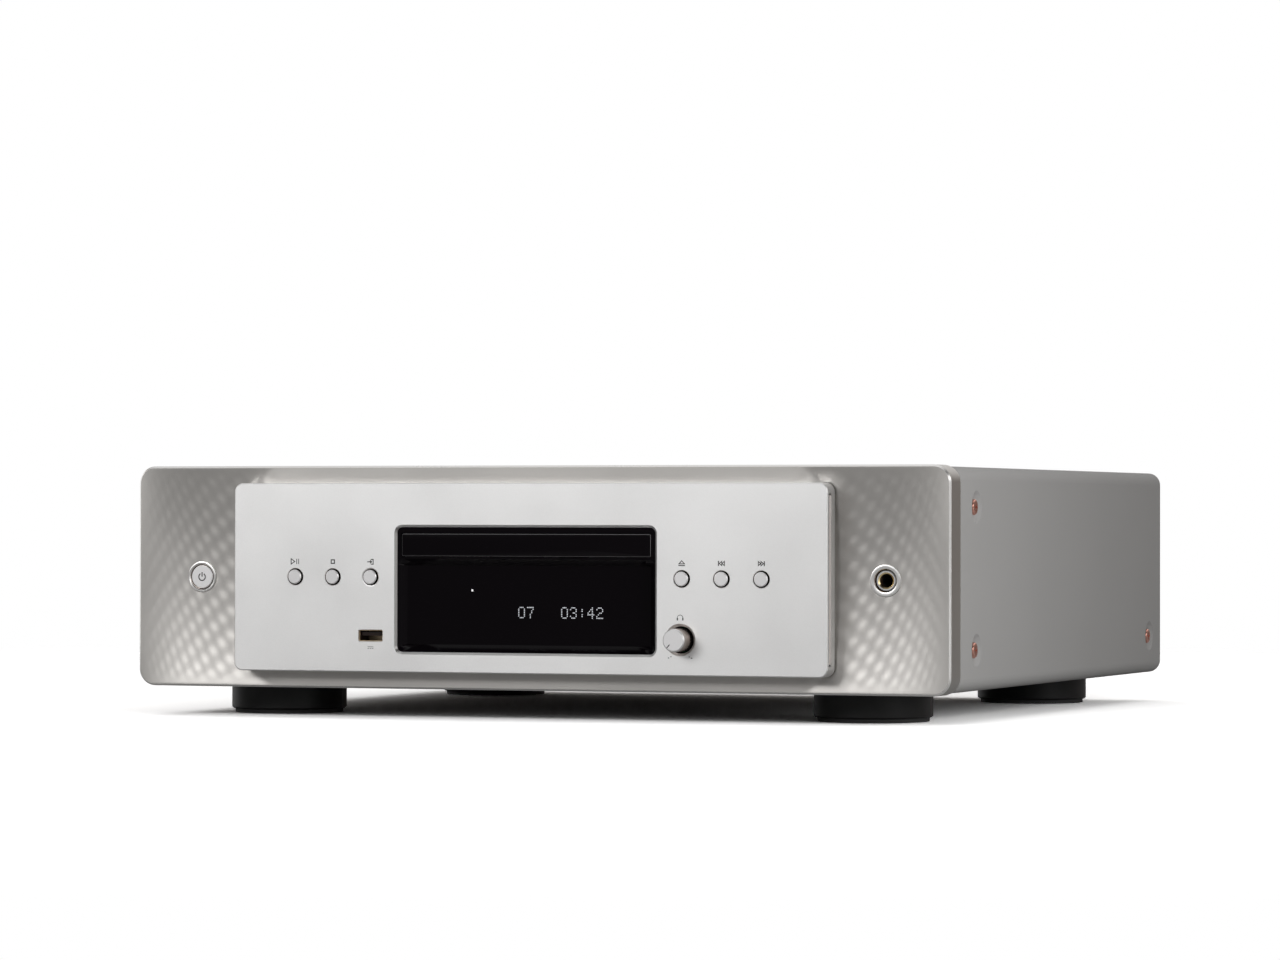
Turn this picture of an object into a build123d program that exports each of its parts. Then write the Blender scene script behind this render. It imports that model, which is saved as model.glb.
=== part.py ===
from build123d import *
import os
from math import acos, atan2, cos, degrees, pi, radians, sin, sqrt, tan

# Full-width CD player, millimetres. +Z is up, the front faces -Y, and the origin is on the
# surface that the feet stand on, midway between the outermost points in X and in Y.

# Overall size
WIDTH = 442.0
HEIGHT = 129.0
CASE_LENGTH = 407.1                 # front panel rim to the rear edge of the cover
KNOB_PROUD = 10.0                   # volume knob in front of the centre plate
PLATE_T = 11.1                      # centre plate, standing in front of the panel rim
REAR_SUNK = 1.6                     # rear panel inside the cover's rear edge
JACK_PROUD = 9.0                    # output jacks behind the rear panel
LENGTH = KNOB_PROUD + PLATE_T + CASE_LENGTH - REAR_SUNK + JACK_PROUD

KNOB_FACE_Y = -LENGTH / 2
PLATE_Y = KNOB_FACE_Y + KNOB_PROUD
RIM_Y = PLATE_Y + PLATE_T
CASE_REAR_Y = RIM_Y + CASE_LENGTH
JACK_TIP_Y = LENGTH / 2

# Front panel: strips above and below the centre plate, a concave wing on each side of it
PANEL_Z0 = 14.9
PANEL_T = 16.3
PANEL_R = 9.0
PANEL_BACK_Y = RIM_Y + PANEL_T
PANEL_MID_Z = (PANEL_Z0 + HEIGHT) / 2
PANEL_EDGE = 1.0
WING_W = 60.0
WING_T = 4.5                        # wing wall left behind the deepest point of the dish
POCKET_RIM = 5.0                    # solid rim round the pocket behind each wing
STRIP_TOP = 9.0
STRIP_LOW = 8.85

# Centre plate
PLATE_X = WIDTH / 2 - WING_W
PLATE_Z0 = PANEL_Z0 + STRIP_LOW
PLATE_Z1 = HEIGHT - STRIP_TOP
PLATE_R = 4.5
PLATE_LAP = 11.0                    # plate's overlap on the panel at each side
PLATE_LAP_TOP = 7.0
PLATE_LAP_LOW = 7.25
PANEL_OPEN_X = PLATE_X - PLATE_LAP
PANEL_OPEN_Z0 = PLATE_Z0 + PLATE_LAP_LOW
PANEL_OPEN_Z1 = PLATE_Z1 - PLATE_LAP_TOP
SLIT_FRONT = 2.3                    # front layer of the plate, ahead of the light slit
SLIT_W = 3.6
SLIT_DEEP = 6.0
SLIT_END = 5.4                      # slit's end below the plate's top and above its bottom
SLIT_Z0 = PLATE_Z0 + SLIT_END
SLIT_Z1 = PLATE_Z1 - SLIT_END
POST_R = 3.0
POST_X = (PANEL_OPEN_X - 49.0, PANEL_OPEN_X - 11.0)
POST_Z = PLATE_Z0 + 16.0

# Dish pressed into each wing
DISH_DEPTH = 3.9
DISH_X = PLATE_X + 25.3
DISH_HALF_W = 33.0
DISH_MARGIN = 2.05                  # panel edge above and below the dish
DISH_HALF_H = (HEIGHT - PANEL_Z0) / 2 - DISH_MARGIN
DISH_Y = RIM_Y + DISH_DEPTH
GUIDE_END_GAP = 0.9
GUIDE_SUNK = 0.4

# Window and tray door
WINDOW_X = 70.1
WINDOW_Z0 = PLATE_Z0 + 10.35
WINDOW_Z1 = PLATE_Z1 - 22.35
WINDOW_R = 3.0
WINDOW_CHAMFER = 1.2
WINDOW_SUNK = 1.2
WINDOW_T = 5.6
RECESS_DEEP = 4.0                   # display glass behind the insert's front face
RECESS_SLOPE = 3.4                  # width of the slope round the display glass
RECESS_EDGE = 0.5                   # flat edge of the insert outside the slope
WINDOW_FIT = 0.1
WINDOW_Y = PLATE_Y + WINDOW_SUNK
DOOR_X = WINDOW_X - 2.5
DOOR_Z1 = WINDOW_Z1 - 3.35
DOOR_Z0 = DOOR_Z1 - 11.4
DOOR_T = 3.2
DOOR_GAP = 0.35
DISPLAY_X = 44.0
DISPLAY_Z0 = WINDOW_Z0 + 10.0
DISPLAY_Z1 = WINDOW_Z0 + 39.9
DISPLAY_RIM = 3.0
DISPLAY_GLASS_T = 2.0

# Front controls
BUTTON_Z = WINDOW_Z0 + 38.0
BUTTON_FIRST_X = WINDOW_X + 14.4
BUTTON_LAST_X = PLATE_X - 34.5
BUTTON_R = 3.65
BUTTON_HOLE_R = 4.25
BUTTON_PROUD = 1.25
BUTTON_TRAVEL = 1.0
BUTTON_NAMES = ("button_play_pause", "button_stop", "button_input",
                "button_eject", "button_previous", "button_next")
USB_X = -WINDOW_X - 14.3
USB_Z = WINDOW_Z0 + 8.2
USB_W = 13.1
USB_H = 5.7
USB_WALL = 0.3
USB_DEEP = 15.0
KNOB_X = WINDOW_X + 13.6
KNOB_Z = WINDOW_Z0 + 7.6
KNOB_R = 5.75
KNOB_WELL_R = 6.8
KNOB_RECESS_R = 8.15
SHAFT_R = 3.0
SHAFT_FIT = 0.05
RING_R = 8.1
RING_Z = BUTTON_Z - 0.5
RING_PROUD = 0.8
POWER_R = 6.05
POWER_HOLE_R = 6.4
POWER_TRAVEL = 1.2
PHONES_BORE_R = 3.25
PHONES_DEEP = 28.0
PHONES_BODY_L = 27.0
PHONES_HALF_H = 7.5
RING_HOLE_R = 5.6
SWITCH_T = 1.6                      # height of a front push switch
SWITCH_HALF = 3.0
POWER_SWITCH_T = 5.0
POWER_SWITCH_HALF = 4.0
PRESS_GAP = 0.3                     # air left between a pressed stem and its switch
CAP_BACK = 4.0                      # rear face of a button cap in front of the panel rim

# Case
COVER_INSET = 0.8                   # cover inside the front panel's outline
COVER_X = WIDTH / 2 - COVER_INSET
COVER_Z1 = HEIGHT - COVER_INSET
COVER_Z0 = PANEL_Z0 + COVER_INSET
COVER_T = 1.2
COVER_R = 6.8
COVER_LIP_X = COVER_X - 14.2        # inner edge of the curled-in bottom lip
CUP_R = 8.25
CUP_DEEP = 3.2
CUP_BALL_R = (CUP_R ** 2 + CUP_DEEP ** 2) / (2 * CUP_DEEP)
SCREW_HEAD_R = 4.0
CUP_FRONT_Y = RIM_Y + 46.5
CUP_REAR_Y = CASE_REAR_Y - 24.1
CUP_TOP_Z = COVER_Z1 - 20.1
CUP_LOW_Z = COVER_Z0 + 20.9
BASE_T = 1.2
BASE_Z0 = COVER_Z0 + COVER_T
BASE_Z1 = BASE_Z0 + BASE_T
BASE_X = COVER_X - COVER_T - CUP_DEEP
BASE_R = 3.2
BASE_SIDE_Z1 = CUP_LOW_Z + 13.4
BRACKET_Z1 = CUP_TOP_Z + 9.9
BRACKET_Y1 = CUP_FRONT_Y + 15.5
REAR_T = 1.5
REAR_Y = CASE_REAR_Y - REAR_SUNK    # outer face of the rear panel
REAR_IN_Y = REAR_Y - REAR_T
REAR_X = COVER_X - COVER_T - 0.2
REAR_Z1 = COVER_Z1 - COVER_T - 0.2

# Feet
FOOT_R = 30.25
FOOT_X = WIDTH / 2 - 59.0
FOOT_FRONT_Y = RIM_Y + 59.6
FOOT_REAR_Y = CASE_REAR_Y - 59.9
PAD_R = 28.5
PAD_T = 2.0
PAD_HOLE_R = 8.0
FOOT_BORE_R = 5.0
FOOT_FLOOR_T = 3.0                  # foot left under its screw's head
FOOT_SCREW_R = 1.9
FOOT_HEAD_R = 3.6
FOOT_HEAD_T = 2.4

# Disc loader
TRAY_X = DOOR_X - 1.6
TRAY_TOP = DOOR_Z1 - 1.8
TRAY_SKIRT_Z0 = DOOR_Z0 + 0.3
TRAY_FLOOR_Z0 = TRAY_SKIRT_Z0 + 2.8
TRAY_DISC_Z = TRAY_FLOOR_Z0 + 2.2
TRAY_SMALL_DISC_Z = TRAY_DISC_Z - 1.0
TRAY_LIP = 3.3
TRAY_LENGTH = 188.8
TRAY_TRAVEL = 140.0
SLOT_X = 19.0
DISC_RECESS_R = 60.6
SMALL_RECESS_R = 40.6
RACK_X = -(TRAY_X - 7.0)            # pitch line of the tray rack
TRAY_FRONT_Y = WINDOW_Y + DOOR_T
TRAY_REAR_Y = TRAY_FRONT_Y + TRAY_LENGTH
DISC_Y = TRAY_FRONT_Y + TRAY_LIP + DISC_RECESS_R

SLIDE_GAP = 0.4
LOADER_X = TRAY_X + SLIDE_GAP + 5.6
LOADER_Z0 = TRAY_SKIRT_Z0 - 23.2
LOADER_Z1 = TRAY_TOP + 2.9
LOADER_Y0 = RIM_Y + 6.0
LOADER_Y1 = TRAY_REAR_Y + 27.0
LOADER_DECK_Z = TRAY_SKIRT_Z0 - 7.8
LOADER_DECK_T = 3.0
LOADER_DECK_L = 33.0
LEG_W = 12.0
LEG_BORE_R = 3.2
LEG_FLOOR_T = 3.0

GEAR_MODULE = 1.0
GEAR_TEETH = 24
GEAR_BACKLASH = 0.25
GEAR_X = RACK_X + GEAR_MODULE * GEAR_TEETH / 2
GEAR_Y = LOADER_Y0 + 17.0
PULLEY_R = 11.5
MOTOR_PULLEY_R = 4.0
MOTOR_X = GEAR_X + 34.0
GROOVE = 1.2
BELT_FIT = 0.1
PULLEY_Z0 = LOADER_DECK_Z + 0.6
PULLEY_H = 5.2
MOTOR_R = 12.0
MOTOR_SHAFT_R = 1.0

# Optical deck, hinged in the loader behind the sled
HUB_SEAT_Z = TRAY_DISC_Z + 1.2
DECK_Z0 = HUB_SEAT_Z - 19.4
PIVOT_Y = DISC_Y + 107.5
PIVOT_Z = DECK_Z0 + 2.0
PIVOT_R = 2.5
PIVOT_FIT = 0.05
DECK_X = LOADER_X - 22.0
DECK_Y0 = LOADER_Y0 + LOADER_DECK_L + 1.5
DECK_Y1 = PIVOT_Y + 6.0
DECK_T = 2.0
HUB_R = 14.5
CONE_R = 7.4
CONE_Z1 = HUB_SEAT_Z + 3.0
SPINDLE_R = 1.25
ROD_R = 1.6
ROD_FIT = 0.05
ROD_Z = DECK_Z0 + 7.0
ROD_MAIN_X = -30.0
ROD_SIDE_X = 16.0
ROD_Y0 = DISC_Y + 13.0
ROD_Y1 = DISC_Y + 88.5
SLED_TRAVEL = 35.0
SLED_Y0 = DISC_Y + 18.5
SLED_LENGTH = 28.0
SLED_RACK_LENGTH = 42.0
SLED_RACK_X = 24.0
SLED_MODULE = 0.8
SLED_TEETH = 18
SLED_GEAR_X = SLED_RACK_X + SLED_MODULE * SLED_TEETH / 2
SLED_GEAR_Y = SLED_Y0 + SLED_RACK_LENGTH - 3.0
SLED_TOP_Z = DECK_Z0 + 12.6
SLED_ARM_HALF = 1.6                 # half height of the rack and of its arm
LENS_Y = SLED_Y0 + 6.0
LENS_R = 4.0
LENS_WELL_Z = SLED_TOP_Z - 1.6

BRIDGE_T = 1.5
BRIDGE_HALF_L = 22.0
CLAMP_R = 16.5
CLAMP_Z0 = HUB_SEAT_Z + 1.3
CLAMP_NECK_R = 10.0
CLAMP_HOLE_R = 11.0

# Boards and power parts
BOARD_T = 1.6
BOARD_Z0 = BASE_Z1 + 7.0
FRONT_BOARD_Y = RIM_Y + 2.4
WING_BOARD_Y = DISH_Y + WING_T + 10.0
LEG_R = 3.0
TRANSFORMER_R = 46.0
TRANSFORMER_H = 44.0
TRANSFORMER_X = -(LOADER_X + LEG_W + TRANSFORMER_R + 16.0)
TRANSFORMER_Y = FOOT_REAR_Y - 50.5
BOARD_SIDE_GAP = 10.8               # base wall to a board's outer edge
BOARD_INNER_X = LOADER_X + LEG_W + 8.0
BOARD_OUTER_X = BASE_X - BOARD_SIDE_GAP
POWER_BOARD_Y0 = RIM_Y + 46.7
POWER_BOARD_Y1 = TRANSFORMER_Y - TRANSFORMER_R - 4.0
MAIN_BOARD_Y0 = RIM_Y + 156.7
MAIN_BOARD_Y1 = REAR_IN_Y - 21.3
SINK_H = 32.0
FIN_PITCH = 8.0
FIN_T = 2.0
CAN_R = 12.5
CAN_H = 40.0
CAN_PITCH = 30.0
RIBBON_HALF_W = 9.0
RIBBON_T = 0.8
RIBBON_X = 112.0

# Rear sockets
ANALOG_X = (150.0, 128.0)
DIGITAL_X = 84.0
OPTICAL_X = 60.0
REMOTE_X = (26.0, 8.0)
INLET_X = -160.0
SOCKET_Z = BASE_Z0 + 45.1
RCA_R = 4.15
RCA_CORE_R = 3.2
RCA_BORE_R = 1.65
RCA_SHOULDER = 0.5                  # jack's barrel wider inside the rear panel
RCA_INSIDE = 8.0
RCA_BODY_L = 12.0
REMOTE_R = 4.0
REMOTE_BORE_R = 1.8
OPTICAL_HALF_W = 6.5
OPTICAL_HALF_H = 5.0
OPTICAL_WALL = 1.2
INLET_HALF_W = 13.5
INLET_HALF_H = 10.0
INLET_SOCKET_W = 24.4
INLET_SOCKET_H = 16.8
INLET_LIP = 2.0                     # inlet's flange outside its hole
INLET_DEEP = 14.5
HOLE_FIT = 0.1
REAR_SCREW_X = (REAR_X - 13.8, 70.0)
REAR_SCREW_Z = (BASE_Z0 + 13.1, REAR_Z1 - 14.8)
REAR_SCREW_R = 1.45


def block(x0, x1, y0, y1, z0, z1):
    """Box between two corners."""
    return Pos((x0 + x1) / 2, (y0 + y1) / 2, (z0 + z1) / 2) * Box(x1 - x0, y1 - y0, z1 - z0)


def along_y(sketch, y0, y1):
    """Extrude a sketch drawn as seen from the front (x right, y up) from y0 back to y1."""
    return extrude(Plane.XZ.offset(-y0) * sketch, amount=-(y1 - y0))


def rod_y(x, z, r, y0, y1):
    """Round bar along Y."""
    return along_y(Pos(x, z) * Circle(r), y0, y1)


def rod_z(x, y, r, z0, z1):
    """Round bar along Z."""
    return Pos(x, y, (z0 + z1) / 2) * Cylinder(r, z1 - z0)


def tube_y(x, z, r_out, r_in, y0, y1):
    """Round tube along Y."""
    return rod_y(x, z, r_out, y0, y1) - rod_y(x, z, r_in, y0, y1)


def rounded(x0, x1, z0, z1, r):
    """Rounded rectangle in the front view."""
    return Pos((x0 + x1) / 2, (z0 + z1) / 2) * RectangleRounded(x1 - x0, z1 - z0, r)


def spur_gear(module, teeth, height, backlash, turned=0.0):
    """Involute spur gear standing on the XY plane, one tooth pointing at angle turned (degrees)."""
    pitch_r = module * teeth / 2
    base_r = pitch_r * cos(radians(20))
    root_r = pitch_r - 1.25 * module
    tip_r = pitch_r + module

    def half_angle(r):
        """Half the tooth's angular width at radius r on the involute."""
        def spread(angle):
            return tan(angle) - angle
        at_pitch = (pi * module / 2 - backlash / 2) / (2 * pitch_r)
        return at_pitch + spread(radians(20)) - spread(acos(min(1.0, base_r / r)))

    start_r = max(base_r, root_r)
    radii = [start_r + (tip_r - start_r) * i / 4 for i in range(5)]
    flank = [(root_r, half_angle(start_r))] + [(r, half_angle(r)) for r in radii if r > root_r]
    points = []
    for tooth in range(teeth):
        middle = 2 * pi * tooth / teeth + radians(turned)
        points += [(r * cos(middle - a), r * sin(middle - a)) for r, a in flank]
        points += [(r * cos(middle + a), r * sin(middle + a)) for r, a in reversed(flank)]
    return extrude(make_face(Polyline(*points, close=True)), amount=height)


def rack_teeth(module, side, x, y_gap, y0, y1, z0, z1, backlash):
    """Straight rack on pitch line x, teeth towards side (+1 or -1), with one gap centred on y_gap."""
    pitch = pi * module
    root = x - side * 1.25 * module
    tip = x + side * module
    half = pitch / 4 - backlash / 4
    slope = tan(radians(20))
    rack = None
    first = int((y0 - y_gap) / pitch)
    last = int((y1 - y_gap) / pitch)
    for i in range(first, last):
        mid = y_gap + (i + 0.5) * pitch
        at_root = half + 1.25 * module * slope
        at_tip = half - module * slope
        tooth = Polyline((root, mid - at_root), (tip, mid - at_tip),
                         (tip, mid + at_tip), (root, mid + at_root), close=True)
        solid = Pos(0, 0, z0) * extrude(make_face(tooth), amount=z1 - z0)
        rack = solid if rack is None else rack + solid
    return rack


def button_places():
    """Name and X of each of the six front buttons, left to right."""
    right = [BUTTON_FIRST_X, (BUTTON_FIRST_X + BUTTON_LAST_X) / 2, BUTTON_LAST_X]
    left = [-x for x in reversed(right)]
    return list(zip(BUTTON_NAMES, left + right))


def cup_places():
    """Side, Y and Z of each screw cup in the cover's sides."""
    spots = [(CUP_FRONT_Y, CUP_TOP_Z), (CUP_FRONT_Y, CUP_LOW_Z), (CUP_REAR_Y, CUP_LOW_Z)]
    return [(side, y, z) for side in (-1, 1) for y, z in spots]


def foot_places():
    """X and Y of the four feet."""
    return [(side * FOOT_X, y) for y in (FOOT_FRONT_Y, FOOT_REAR_Y) for side in (-1, 1)]


# ---------------------------------------------------------------- front

def front_panel():
    """Panel frame: flat strips above and below the plate, a shallow dish in each wing."""
    outline = rounded(-WIDTH / 2, WIDTH / 2, PANEL_Z0, HEIGHT, PANEL_R)
    panel = along_y(outline, RIM_Y, PANEL_BACK_Y)
    panel = chamfer(panel.faces().sort_by(Axis.Y)[0].edges(), PANEL_EDGE)
    panel -= block(-PANEL_OPEN_X, PANEL_OPEN_X, RIM_Y, PANEL_BACK_Y, PANEL_OPEN_Z0, PANEL_OPEN_Z1)
    across = (DISH_HALF_W ** 2 + DISH_DEPTH ** 2) / (2 * DISH_DEPTH)
    upright = (DISH_HALF_H ** 2 + DISH_DEPTH ** 2) / (2 * DISH_DEPTH)
    dish = Rot(0, 90, 0) * Torus(upright - across, across)
    pocket_z0 = PANEL_Z0 + POCKET_RIM
    pocket_z1 = HEIGHT - POCKET_RIM
    for side in (-1, 1):
        panel -= Pos(side * DISH_X, DISH_Y - upright, PANEL_MID_Z) * dish
        inner, outer = sorted((side * (PANEL_OPEN_X + 4.0), side * (WIDTH / 2 - POCKET_RIM)))
        panel -= block(inner, outer, DISH_Y + WING_T, PANEL_BACK_Y, pocket_z0, pocket_z1)
        panel -= rod_y(side * DISH_X, RING_Z, RING_R, RIM_Y, PANEL_BACK_Y)
    return panel


def front_plate():
    """Thick centre plate with its window, holes and a light slit along each side edge."""
    plate = along_y(rounded(-PLATE_X, PLATE_X, PLATE_Z0, PLATE_Z1, PLATE_R), PLATE_Y, RIM_Y)
    plate = chamfer(plate.faces().sort_by(Axis.Y)[0].edges(), 0.5)
    window = rounded(-WINDOW_X, WINDOW_X, WINDOW_Z0, WINDOW_Z1, WINDOW_R)
    plate -= along_y(window, PLATE_Y, RIM_Y)
    lip = plate.faces().sort_by(Axis.Y)[0].inner_wires()[0]
    plate = chamfer(lip.edges(), WINDOW_CHAMFER)
    for side in (-1, 1):
        x0, x1 = sorted((side * (PLATE_X - SLIT_DEEP), side * PLATE_X))
        slit_y = PLATE_Y + SLIT_FRONT
        plate -= block(x0, x1, slit_y, slit_y + SLIT_W, SLIT_Z0, SLIT_Z1)
    for name, x in button_places():
        plate -= rod_y(x, BUTTON_Z, BUTTON_HOLE_R, PLATE_Y, RIM_Y)
    rims = [wire for wire in plate.faces().sort_by(Axis.Y)[0].inner_wires()
            if len(wire.edges()) == 1]
    plate = chamfer([wire.edges()[0] for wire in rims], 0.25)
    plate -= rod_y(KNOB_X, KNOB_Z, KNOB_WELL_R, PLATE_Y, RIM_Y)
    recess = Cone(KNOB_RECESS_R, KNOB_WELL_R, KNOB_RECESS_R - KNOB_WELL_R,
                  align=(Align.CENTER, Align.CENTER, Align.MIN))
    plate -= Pos(KNOB_X, PLATE_Y, KNOB_Z) * Rot(-90, 0, 0) * recess
    socket = rounded(USB_X - USB_W / 2 - 0.2, USB_X + USB_W / 2 + 0.2,
                     USB_Z - USB_H / 2 - 0.2, USB_Z + USB_H / 2 + 0.2, 0.8)
    plate -= along_y(socket, PLATE_Y, RIM_Y)
    front = plate.faces().sort_by(Axis.Y)[0]
    mouth = min(front.inner_wires(), key=lambda wire: abs(wire.center().X - USB_X))
    plate = chamfer(mouth.edges(), 0.3)
    for side in (-1, 1):
        for x in POST_X:
            plate += rod_y(side * x, POST_Z, POST_R, RIM_Y, FRONT_BOARD_Y)
    return plate


def light_guides():
    """The two clear bars that fill the slits in the plate's side edges."""
    bars = []
    slit_y = PLATE_Y + SLIT_FRONT
    for side in (-1, 1):
        x0, x1 = sorted((side * (PLATE_X - SLIT_DEEP), side * (PLATE_X - GUIDE_SUNK)))
        bars.append(block(x0, x1, slit_y, slit_y + SLIT_W,
                          SLIT_Z0 + GUIDE_END_GAP, SLIT_Z1 - GUIDE_END_GAP))
    return Compound(bars)


def display_window():
    """Black glazed insert that fills the plate's cut-out, with the slot for the tray door."""
    outline = rounded(-WINDOW_X + WINDOW_FIT, WINDOW_X - WINDOW_FIT,
                      WINDOW_Z0 + WINDOW_FIT, WINDOW_Z1 - WINDOW_FIT, WINDOW_R - WINDOW_FIT)
    window = along_y(outline, WINDOW_Y, WINDOW_Y + WINDOW_T)
    slot_z0 = DOOR_Z0 - DOOR_GAP
    window -= block(-DOOR_X - DOOR_GAP, DOOR_X + DOOR_GAP, WINDOW_Y, WINDOW_Y + WINDOW_T,
                    slot_z0, DOOR_Z1 + DOOR_GAP)
    recess = rounded(-WINDOW_X + RECESS_EDGE, WINDOW_X - RECESS_EDGE, WINDOW_Z0 + RECESS_EDGE,
                     slot_z0 - 2 * RECESS_EDGE, WINDOW_R)
    slope = degrees(atan2(RECESS_SLOPE, RECESS_DEEP))
    return window - extrude(Plane.XZ.offset(-WINDOW_Y) * recess, amount=-RECESS_DEEP, taper=slope)


def display_module():
    """Display glass on its tray, between the window and the front board."""
    front_y = WINDOW_Y + WINDOW_T + 0.2
    back_y = front_y + DISPLAY_GLASS_T
    tray_x = DISPLAY_X + DISPLAY_RIM
    glass = block(-DISPLAY_X, DISPLAY_X, front_y, back_y, DISPLAY_Z0, DISPLAY_Z1)
    return glass + block(-tray_x, tray_x, back_y, FRONT_BOARD_Y,
                         DISPLAY_Z0 - DISPLAY_RIM, DISPLAY_Z1 + DISPLAY_RIM)


def front_board():
    """Circuit board behind the plate that carries the display, the switches and the sockets."""
    half_w = PANEL_OPEN_X - 4.0
    board = block(-half_w, half_w, FRONT_BOARD_Y, FRONT_BOARD_Y + BOARD_T,
                  WINDOW_Z0, BUTTON_Z + 7.4)
    return board - rod_y(KNOB_X, KNOB_Z, 5.0, FRONT_BOARD_Y, FRONT_BOARD_Y + BOARD_T)


def tact_switches():
    """Push switches behind the six buttons and the power button."""
    switches = []
    for name, x in button_places():
        switches.append(block(x - SWITCH_HALF, x + SWITCH_HALF, FRONT_BOARD_Y - SWITCH_T,
                              FRONT_BOARD_Y, BUTTON_Z - SWITCH_HALF, BUTTON_Z + SWITCH_HALF))
    half = POWER_SWITCH_HALF
    power = block(-DISH_X - half, -DISH_X + half, WING_BOARD_Y - POWER_SWITCH_T, WING_BOARD_Y,
                  RING_Z - half, RING_Z + half)
    return Compound(switches + [power])


def front_button(x):
    """Turned button cap and the thinner stem that presses its switch."""
    cap_back_y = RIM_Y - CAP_BACK
    cap = rod_y(x, BUTTON_Z, BUTTON_R, PLATE_Y - BUTTON_PROUD, cap_back_y)
    cap = chamfer(cap.faces().sort_by(Axis.Y)[0].edges(), 0.45)
    stem_end = FRONT_BOARD_Y - SWITCH_T - BUTTON_TRAVEL - PRESS_GAP
    return cap + rod_y(x, BUTTON_Z, 1.6, cap_back_y, stem_end)


def power_button():
    """Power button cap and stem."""
    face_y = DISH_Y - RING_PROUD + 0.3
    cap = rod_y(-DISH_X, RING_Z, POWER_R, face_y, face_y + 7.0)
    cap = chamfer(cap.faces().sort_by(Axis.Y)[0].edges(), 0.4)
    stem_end = WING_BOARD_Y - POWER_SWITCH_T - POWER_TRAVEL - PRESS_GAP
    return cap + rod_y(-DISH_X, RING_Z, 2.0, face_y + 7.0, stem_end)


def control_ring(x, hole_r):
    """Bright turned ring let into a wing."""
    face_y = DISH_Y - RING_PROUD
    ring = tube_y(x, RING_Z, RING_R, hole_r, face_y, DISH_Y + WING_T)
    front_edges = ring.faces().sort_by(Axis.Y)[0].edges()
    return chamfer(front_edges, 0.6)


def headphone_bush():
    """Gold threaded bush at the mouth of the headphone jack."""
    return tube_y(DISH_X, RING_Z, RING_HOLE_R - 0.3, PHONES_BORE_R,
                  DISH_Y + 0.6, DISH_Y + WING_T + 0.6)


def headphone_jack():
    """Moulded body of the quarter-inch headphone jack."""
    y0 = DISH_Y + WING_T + 0.6
    body = block(DISH_X - 8, DISH_X + 8, y0, y0 + PHONES_BODY_L,
                 RING_Z - PHONES_HALF_H, RING_Z + PHONES_HALF_H)
    return body - rod_y(DISH_X, RING_Z, PHONES_BORE_R, y0, DISH_Y + 0.6 + PHONES_DEEP)


def headphone_board():
    """Small board under the headphone jack."""
    y0 = DISH_Y + WING_T + 1.0
    z1 = RING_Z - PHONES_HALF_H
    return block(DISH_X - 14, DISH_X + 14, y0, y0 + PHONES_BODY_L + 21.0, z1 - BOARD_T, z1)


def power_switch_board():
    """Small board behind the power button."""
    return block(-DISH_X - 16, -DISH_X + 16, WING_BOARD_Y, WING_BOARD_Y + BOARD_T,
                 RING_Z - 18, RING_Z + 14)


def usb_shell():
    """Folded metal shell of the USB socket."""
    y0 = PLATE_Y + 1.0
    outer = rounded(USB_X - USB_W / 2, USB_X + USB_W / 2, USB_Z - USB_H / 2, USB_Z + USB_H / 2, 0.6)
    inner = rounded(USB_X - USB_W / 2 + USB_WALL, USB_X + USB_W / 2 - USB_WALL,
                    USB_Z - USB_H / 2 + USB_WALL, USB_Z + USB_H / 2 - USB_WALL, 0.3)
    return along_y(outer, y0, FRONT_BOARD_Y) - along_y(inner, y0, FRONT_BOARD_Y - 1.0)


def usb_tongue():
    """Contact tongue inside the USB socket."""
    z1 = USB_Z + USB_H / 2 - USB_WALL - 0.75
    return block(USB_X - 5.5, USB_X + 5.5, PLATE_Y + 2.2, FRONT_BOARD_Y - 1.0, z1 - 1.85, z1)


def level_potentiometer():
    """Volume control behind the board, with its threaded bush."""
    back_y = FRONT_BOARD_Y + BOARD_T
    body = block(KNOB_X - 5.5, KNOB_X + 5.5, back_y, back_y + 9.0, KNOB_Z - 6.5, KNOB_Z + 6.5)
    body += rod_y(KNOB_X, KNOB_Z, 4.5, RIM_Y - CAP_BACK, back_y)
    return body - rod_y(KNOB_X, KNOB_Z, SHAFT_R + SHAFT_FIT, RIM_Y - CAP_BACK, back_y + 6.0)


def level_knob():
    """Volume knob with its shaft."""
    back_y = RIM_Y - CAP_BACK - SLIDE_GAP
    knob = rod_y(KNOB_X, KNOB_Z, KNOB_R, KNOB_FACE_Y, back_y)
    knob = chamfer(knob.faces().sort_by(Axis.Y)[0].edges(), 0.6)
    return knob + rod_y(KNOB_X, KNOB_Z, SHAFT_R, back_y, FRONT_BOARD_Y + BOARD_T + 5.5)


# ---------------------------------------------------------------- case

def cover_profile(inset):
    """Outer outline of the cover's cross-section, shrunk by inset."""
    return rounded(-COVER_X + inset, COVER_X - inset, COVER_Z0 + inset, COVER_Z1 - inset,
                   COVER_R - inset)


def screw_cup(side, y, z, grow):
    """Ball that presses a round cup into the cover's side, grown all round by grow."""
    ball = Rot(0, 0, 90) * Sphere(CUP_BALL_R + grow)
    return Pos(side * (COVER_X - CUP_DEEP + CUP_BALL_R), y, z) * ball


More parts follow.
